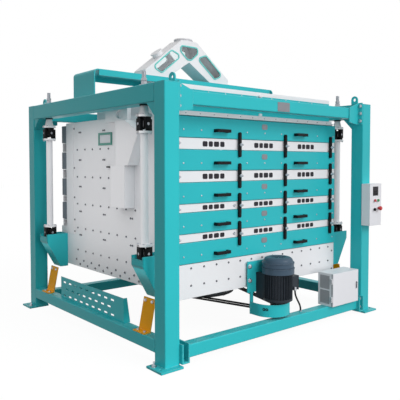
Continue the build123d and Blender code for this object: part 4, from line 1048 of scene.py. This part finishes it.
class SIEVE_OT_blank_plates(PieceOperator):
    """Bare plates on the beam and the drawers, blank tiles and plugs on the bars"""

    bl_idname = "sieve.blank_plates"
    bl_label = "Blank plates"
    plate_thick = 2.0
    beam_place = (36.0, 1998.0)
    # Sizes of a plate: width, height and corner radius.
    beam_size = (156.0, 82.0, 4.0)
    beam_screw_shift = (68.0, 32.0)
    beam_screw = 7.0
    badge_x, badge_rise = 24.0, 32.0
    badge_size = (72.0, 48.0, 16.0)
    badge_screw_shift = 28.0
    badge_screw = 6.0
    tile_columns = (-580.0, 21.0, 614.0)
    tile_widths = (52.0, 44.0, 56.0, 48.0)
    tile_heights = (44.0, 44.0, 38.0, 38.0)
    tile_start, tile_gap = 122.0, 14.0
    tile_corner, tile_thick = 11.0, 1.6
    plug_x, plug_radius, plug_thick, plug_screw = -345.0, 14.0, 1.5, 18.0
    plug_bars = BAR_Z[2:]

    def make(self, context):
        self.beam_plate()
        self.drawer_badges()
        self.bar_tiles()
        self.bar_plugs()

    def beam_plate(self):
        bm = bmesh.new()
        x, z = self.beam_place
        shift_x, shift_z = self.beam_screw_shift
        add_tile(bm, x, z, BEAM_Y, *self.beam_size, self.plate_thick)
        for screw_x in (x - shift_x, x + shift_x):
            for screw_z in (z - shift_z, z + shift_z):
                add_screw(bm, (screw_x, BEAM_Y - self.plate_thick, screw_z), FRONT, self.beam_screw)
        place_piece("beam_plate", bm, "frame", finish("plate"))

    def drawer_badges(self):
        bm = bmesh.new()
        x = self.badge_x
        for z in (drawer + self.badge_rise for drawer in DRAWER_Z):
            add_tile(bm, x, z, DRAWER_Y, *self.badge_size, self.plate_thick)
            for screw_x in (x - self.badge_screw_shift, x + self.badge_screw_shift):
                add_screw(bm, (screw_x, DRAWER_Y - self.plate_thick, z), FRONT, self.badge_screw)
        place_piece("drawer_badges", bm, "sieve", finish("plate"))

    def bar_tiles(self):
        bm = bmesh.new()
        for z, height in zip(BAR_Z, self.tile_heights):
            for x in self.tile_columns:
                left = x - self.tile_start
                for width in self.tile_widths:
                    middle = left + width / 2
                    add_tile(bm, middle, z, BAR_Y, width, height, self.tile_corner, self.tile_thick)
                    left += width + self.tile_gap
        place_piece("bar_tiles", bm, "sieve", finish("tile"))

    def bar_plugs(self):
        bm = bmesh.new()
        for z in self.plug_bars:
            add_round(bm, (self.plug_x, BAR_Y, z), FRONT, self.plug_radius, 0.0, self.plug_thick, 24)
            add_screw(bm, (self.plug_x, BAR_Y - self.plug_thick, z), FRONT, self.plug_screw)
        place_piece("bar_plugs", bm, "sieve", finish("zinc"))


class SIEVE_OT_motor_fittings(PieceOperator):
    """Motor plate bolts, fan grille, cowl ribs, terminal box lid and grommets of the belt pan"""

    bl_idname = "sieve.motor_fittings"
    bl_label = "Motor fittings"
    plate_x, plate_y = 184.0, -965.0
    plate_rows = (594.0, 470.0)
    plate_bolt, plate_stud = 34.0, 6.0
    grille_z = 682.0
    grille_rings = (16.0, 31.0, 46.0, 60.0)
    wire_half, wire_height = 1.5, 3.0
    spoke_count = 8
    spoke_reach = (14.0, 65.0)
    spoke_half, spoke_height = 2.5, 3.4
    # Cowl ribs: height above the floor, outer radius and width.
    ribs = ((586.0, 145.0, 8.0), (634.0, 142.5, 7.0))
    rib_inner = 134.0
    lid_low, lid_high = (210.0, -1188.0, 371.0), (218.0, -1077.0, 501.0)
    lid_screw_y, lid_screw_z = (-1180.0, -1085.0), (379.0, 493.0)
    lid_screw = 9.0
    pan_radius = 170.0
    pan_middle = (0.0, -1045.0, 238.0)
    grommet_angles = (-156.7, -147.8)
    grommet_inner, grommet_outer, grommet_height = 6.0, 12.0, 4.0

    def make(self, context):
        self.plate_bolts()
        self.fan_grille()
        self.cowl_ribs()
        self.terminal_lid()
        self.pan_grommets()

    def plate_bolts(self):
        bm = bmesh.new()
        for x in (-self.plate_x, self.plate_x):
            for z in self.plate_rows:
                add_bolt(bm, (x, self.plate_y, z), FRONT, self.plate_bolt, self.plate_stud)
        place_piece("motor_plate_bolts", bm, "sieve", finish("zinc"))

    def fan_grille(self):
        bm = bmesh.new()
        z, half = self.grille_z, self.wire_half
        for radius in self.grille_rings:
            add_ring(bm, (0.0, MOTOR_Y, z), UP, radius - half, radius + half, self.wire_height, 40)
        near, far = self.spoke_reach
        for turn in range(self.spoke_count):
            before = set(bm.verts)
            add_block(bm, (near, -self.spoke_half, z), (far, self.spoke_half, z + self.spoke_height), 1.0, 1)
            spoke = [vert for vert in bm.verts if vert not in before]
            turned = Matrix.Rotation(turn * math.tau / self.spoke_count, 4, "Z")
            shift = Matrix.Translation((0.0, MOTOR_Y * MM, 0.0)) @ turned
            bmesh.ops.transform(bm, matrix=shift, verts=spoke)
        place_piece("fan_grille", bm, "sieve", finish("slate"))

    def cowl_ribs(self):
        bm = bmesh.new()
        for z, outer, width in self.ribs:
            add_ring(bm, (0.0, MOTOR_Y, z), UP, self.rib_inner, outer, width, 64)
        place_piece("cowl_ribs", bm, "sieve", finish("slate"))

    def terminal_lid(self):
        bm = bmesh.new()
        add_block(bm, self.lid_low, self.lid_high, 3.0, 2)
        for y in self.lid_screw_y:
            for z in self.lid_screw_z:
                add_screw(bm, (self.lid_high[0], y, z), (1, 0, 0), self.lid_screw)
        place_piece("terminal_lid", bm, "sieve", finish("charcoal"))

    def pan_grommets(self):
        bm = bmesh.new()
        for angle in self.grommet_angles:
            outward = Vector((math.cos(math.radians(angle)), math.sin(math.radians(angle)), 0.0))
            place = outward * self.pan_radius + Vector(self.pan_middle)
            add_ring(bm, place, outward, self.grommet_inner, self.grommet_outer, self.grommet_height, 24)
        place_piece("pan_grommets", bm, "sieve", finish("black"))


class SIEVE_OT_cabinet_fittings(PieceOperator):
    """Louvres and lock of the cabinet, screen and keys of the control box"""

    bl_idname = "sieve.cabinet_fittings"
    bl_label = "Cabinet fittings"
    vents = ((172.0, 294.0), (314.0, 436.0))
    louvre_count = 15
    louvre_x, louvre_y = (639.2, 642.0), (-1203.0, -1099.0)
    louvre_half = 2.2
    lock_x, lock_z = (1003.0, 1025.0), (276.0, 346.0)
    lock_thick = 6.0
    keyhole_place, keyhole_radius, keyhole_height = (1014.0, 332.0), 6.0, 3.0
    slot_x, slot_z = (1010.0, 1018.0), (284.0, 318.0)
    # From the door's face outwards.
    slot_y = (-7.5, -5.0)
    tile_thick = 1.8
    screen_place = (1246.0, 1252.0)
    screen_size = (84.0, 34.0, 4.0)
    # Even rows of keys: first place, pitch and count.
    keys_x = (1214.0, 21.0, 4)
    keys_z = (1219.0, -19.0, 2)
    key_size = (15.0, 12.0, 3.0)

    def make(self, context):
        self.louvres()
        self.door_lock()
        self.screen_keys()

    def louvres(self):
        bm = bmesh.new()
        for low, high in self.vents:
            for index in range(self.louvre_count):
                z = low + (high - low) * (index + 0.5) / self.louvre_count
                near = (self.louvre_x[0], self.louvre_y[0], z - self.louvre_half)
                far = (self.louvre_x[1], self.louvre_y[1], z + self.louvre_half)
                add_block(bm, near, far, 0.8, 1)
        place_piece("cabinet_louvres", bm, "frame", finish("mesh"))

    def door_lock(self):
        bm = bmesh.new()
        plate_y = DOOR_Y - self.lock_thick
        low = (self.lock_x[0], plate_y, self.lock_z[0])
        add_block(bm, low, (self.lock_x[1], DOOR_Y, self.lock_z[1]), 3.0, 2)
        place_piece("door_lock", bm, "cabinet_door", finish("plate"))
        bm = bmesh.new()
        x, z = self.keyhole_place
        add_round(bm, (x, plate_y, z), FRONT, self.keyhole_radius, 0.0, self.keyhole_height, 20)
        low = (self.slot_x[0], DOOR_Y + self.slot_y[0], self.slot_z[0])
        high = (self.slot_x[1], DOOR_Y + self.slot_y[1], self.slot_z[1])
        add_block(bm, low, high, 0.8, 1)
        place_piece("door_lock_slot", bm, "cabinet_door", finish("black"))

    def screen_keys(self):
        bm = bmesh.new()
        add_tile(bm, *self.screen_place, SCREEN_Y, *self.screen_size, self.tile_thick)
        for z in spaced(*self.keys_z):
            for x in spaced(*self.keys_x):
                add_tile(bm, x, z, SCREEN_Y, *self.key_size, self.tile_thick)
        place_piece("screen_keys", bm, "frame", finish("tile"))


class SIEVE_OT_wall_fittings(PieceOperator):
    """Sight pane, chute latch and hood clips"""

    bl_idname = "sieve.wall_fittings"
    bl_label = "Wall fittings"
    pane_low, pane_high = (-1075.0, -97.0, 1692.0), (-1071.0, 99.0, 1766.0)
    latch_y, latch_z = (-98.0, -50.0), (1468.0, 1482.0)
    latch_depth = 26.0
    clip_x = (-52.0, -18.0)
    clip_rows = (2094.0, 1930.0)
    clip_height, clip_depth, clip_screw = 22.0, 14.0, 9.0

    def make(self, context):
        bm = bmesh.new()
        add_block(bm, self.pane_low, self.pane_high, 0.8, 1)
        place_piece("sight_pane", bm, "sieve", finish("pane"))
        bm = bmesh.new()
        low = (-WALL_X - self.latch_depth, self.latch_y[0], self.latch_z[0])
        add_block(bm, low, (-WALL_X, self.latch_y[1], self.latch_z[1]), 3.0, 2)
        place_piece("chute_latch", bm, "sieve", finish("black"))
        bm = bmesh.new()
        left, right = self.clip_x
        front = APRON_Y - self.clip_depth
        for z in self.clip_rows:
            add_block(bm, (left, front, z), (right, APRON_Y, z + self.clip_height), 3.0, 2)
            middle = ((left + right) / 2, front, z + self.clip_height / 2)
            add_screw(bm, middle, FRONT, self.clip_screw)
        place_piece("hood_clips", bm, "sieve", finish("white"))


def seen_rays(tree):
    """1 for rays from the camera, from shiny faces and through glass, 0 for light on matt faces."""
    rays = tree.nodes.new("ShaderNodeLightPath")
    seen = math_node(tree, "MAXIMUM", rays.outputs["Is Camera Ray"], rays.outputs["Is Glossy Ray"])
    return math_node(tree, "MAXIMUM", seen, rays.outputs["Is Transmission Ray"])


class SIEVE_OT_stage(PieceOperator):
    """Make the floor, the light and the camera"""

    bl_idname = "sieve.stage"
    bl_label = "Stage"
    floor_tone, floor_glow = 0.06, 0.955
    fill_level = 0.55
    sun_level, sun_angle = 1.25, 28.0
    sun_from = (0.30, -0.78, 0.55)
    # Broad lights: name, place, aim, size and level.
    lamps = (
        ("front", (-1.50, -5.40, 1.35), (1.60, 4.40, -0.25), (2.4, 1.8), 84.0),
        ("side", (-1.285, -0.05, 1.25), (1.0, 0.0, 0.0), (2.0, 1.26), 3.2),
    )
    camera_place = (-3.590, -4.362, 1.508)
    camera_dip, camera_turn = 2.26, -39.82
    sensor, lens, rise = 36.0, 49.06, -0.038
    far_clip = 500.0

    def make(self, context):
        scene = context.scene
        self.floor(scene)
        self.world(scene)
        self.sun(scene)
        for lamp in self.lamps:
            self.broad_light(scene, *lamp)
        self.camera(scene)
        scene.view_settings.view_transform = "Standard"

    def camera(self, scene):
        """The view from eye height, before the left front corner."""
        view = bpy.data.cameras.new("view")
        view.sensor_width = self.sensor
        view.lens = self.lens
        view.shift_y = self.rise
        view.clip_end = self.far_clip
        camera = bpy.data.objects.new("view", view)
        camera.location = self.camera_place
        camera.rotation_euler = (math.radians(90.0 - self.camera_dip), 0.0, math.radians(self.camera_turn))
        scene.collection.objects.link(camera)
        scene.camera = camera

    def sun(self, scene):
        """The high light, from the front right."""
        lamp = bpy.data.lights.new("key", "SUN")
        lamp.energy = self.sun_level
        lamp.angle = math.radians(self.sun_angle)
        sun = bpy.data.objects.new("key", lamp)
        sun.rotation_euler = Vector(self.sun_from).to_track_quat("Z", "Y").to_euler()
        scene.collection.objects.link(sun)

    def broad_light(self, scene, name, place, aim, size, level):
        """A broad soft light that isn't seen itself."""
        lamp = bpy.data.lights.new(name, "AREA")
        lamp.shape = "RECTANGLE"
        lamp.size, lamp.size_y = size
        lamp.energy = level
        light = bpy.data.objects.new(name, lamp)
        light.location = place
        light.rotation_euler = Vector(aim).to_track_quat("-Z", "Y").to_euler()
        light.visible_camera = False
        light.visible_glossy = False
        light.visible_transmission = False
        scene.collection.objects.link(light)

    def floor(self, scene):
        """A wide floor that is seen as white and keeps the shadow."""
        bm = bmesh.new()
        bmesh.ops.create_grid(bm, x_segments=1, y_segments=1, size=sizes().floor / 2)
        mesh = bpy.data.meshes.new("floor")
        bm.to_mesh(mesh)
        bm.free()
        floor = bpy.data.objects.new("floor", mesh)
        scene.collection.objects.link(floor)
        material = bpy.data.materials.new("pale_floor")
        material.use_nodes = True
        tree = material.node_tree
        tree.nodes.clear()
        out = tree.nodes.new("ShaderNodeOutputMaterial")
        matt = tree.nodes.new("ShaderNodeBsdfDiffuse")
        matt.inputs["Color"].default_value = (self.floor_tone, self.floor_tone, self.floor_tone, 1.0)
        glow = tree.nodes.new("ShaderNodeEmission")
        level = math_node(tree, "MULTIPLY", seen_rays(tree), self.floor_glow)
        tree.links.new(level, glow.inputs["Strength"])
        both = tree.nodes.new("ShaderNodeAddShader")
        tree.links.new(matt.outputs[0], both.inputs[0])
        tree.links.new(glow.outputs[0], both.inputs[1])
        tree.links.new(both.outputs[0], out.inputs["Surface"])
        mesh.materials.append(material)

    def world(self, scene):
        """A white backdrop that lights the sieve only softly."""
        world = bpy.data.worlds.new("studio")
        scene.world = world
        world.use_nodes = True
        tree = world.node_tree
        back = tree.nodes["Background"]
        back.inputs["Color"].default_value = (1.0, 1.0, 1.0, 1.0)
        level = mix_value(tree, seen_rays(tree), self.fill_level, 1.0)
        tree.links.new(level, back.inputs["Strength"])


PIECES = (
    SIEVE_OT_motor_lead,
    SIEVE_OT_finishes,
    SIEVE_OT_frame_bolts,
    SIEVE_OT_hanger_bolts,
    SIEVE_OT_wall_bolts,
    SIEVE_OT_front_bolts,
    SIEVE_OT_blank_plates,
    SIEVE_OT_motor_fittings,
    SIEVE_OT_cabinet_fittings,
    SIEVE_OT_wall_fittings,
    SIEVE_OT_stage,
)


class SIEVE_PT_panel(bpy.types.Panel):
    """Lists the sieve's sizes, colours and pieces"""

    bl_idname = "SIEVE_PT_panel"
    bl_label = "Vibrating sieve"
    bl_space_type = "VIEW_3D"
    bl_region_type = "UI"
    bl_category = "Sieve"

    def draw(self, context):
        for group in (colours(), sizes()):
            box = self.layout.box()
            for name in group.bl_rna.properties.keys():
                if name not in {"rna_type", "name"}:
                    box.prop(group, name)
        for piece in PIECES:
            self.layout.operator(piece.bl_idname)


CLASSES = (SieveColours, SieveSizes, *PIECES, SIEVE_PT_panel)


def register():
    for cls in CLASSES:
        bpy.utils.register_class(cls)
    bpy.types.Scene.sieve_colours = PointerProperty(type=SieveColours)
    bpy.types.Scene.sieve_sizes = PointerProperty(type=SieveSizes)


def unregister():
    del bpy.types.Scene.sieve_sizes
    del bpy.types.Scene.sieve_colours
    for cls in reversed(CLASSES):
        bpy.utils.unregister_class(cls)


def main():
    register()
    make_groups()
    for piece in PIECES:
        family, name = piece.bl_idname.split(".")
        getattr(getattr(bpy.ops, family), name)()


if __name__ == "__main__":
    main()
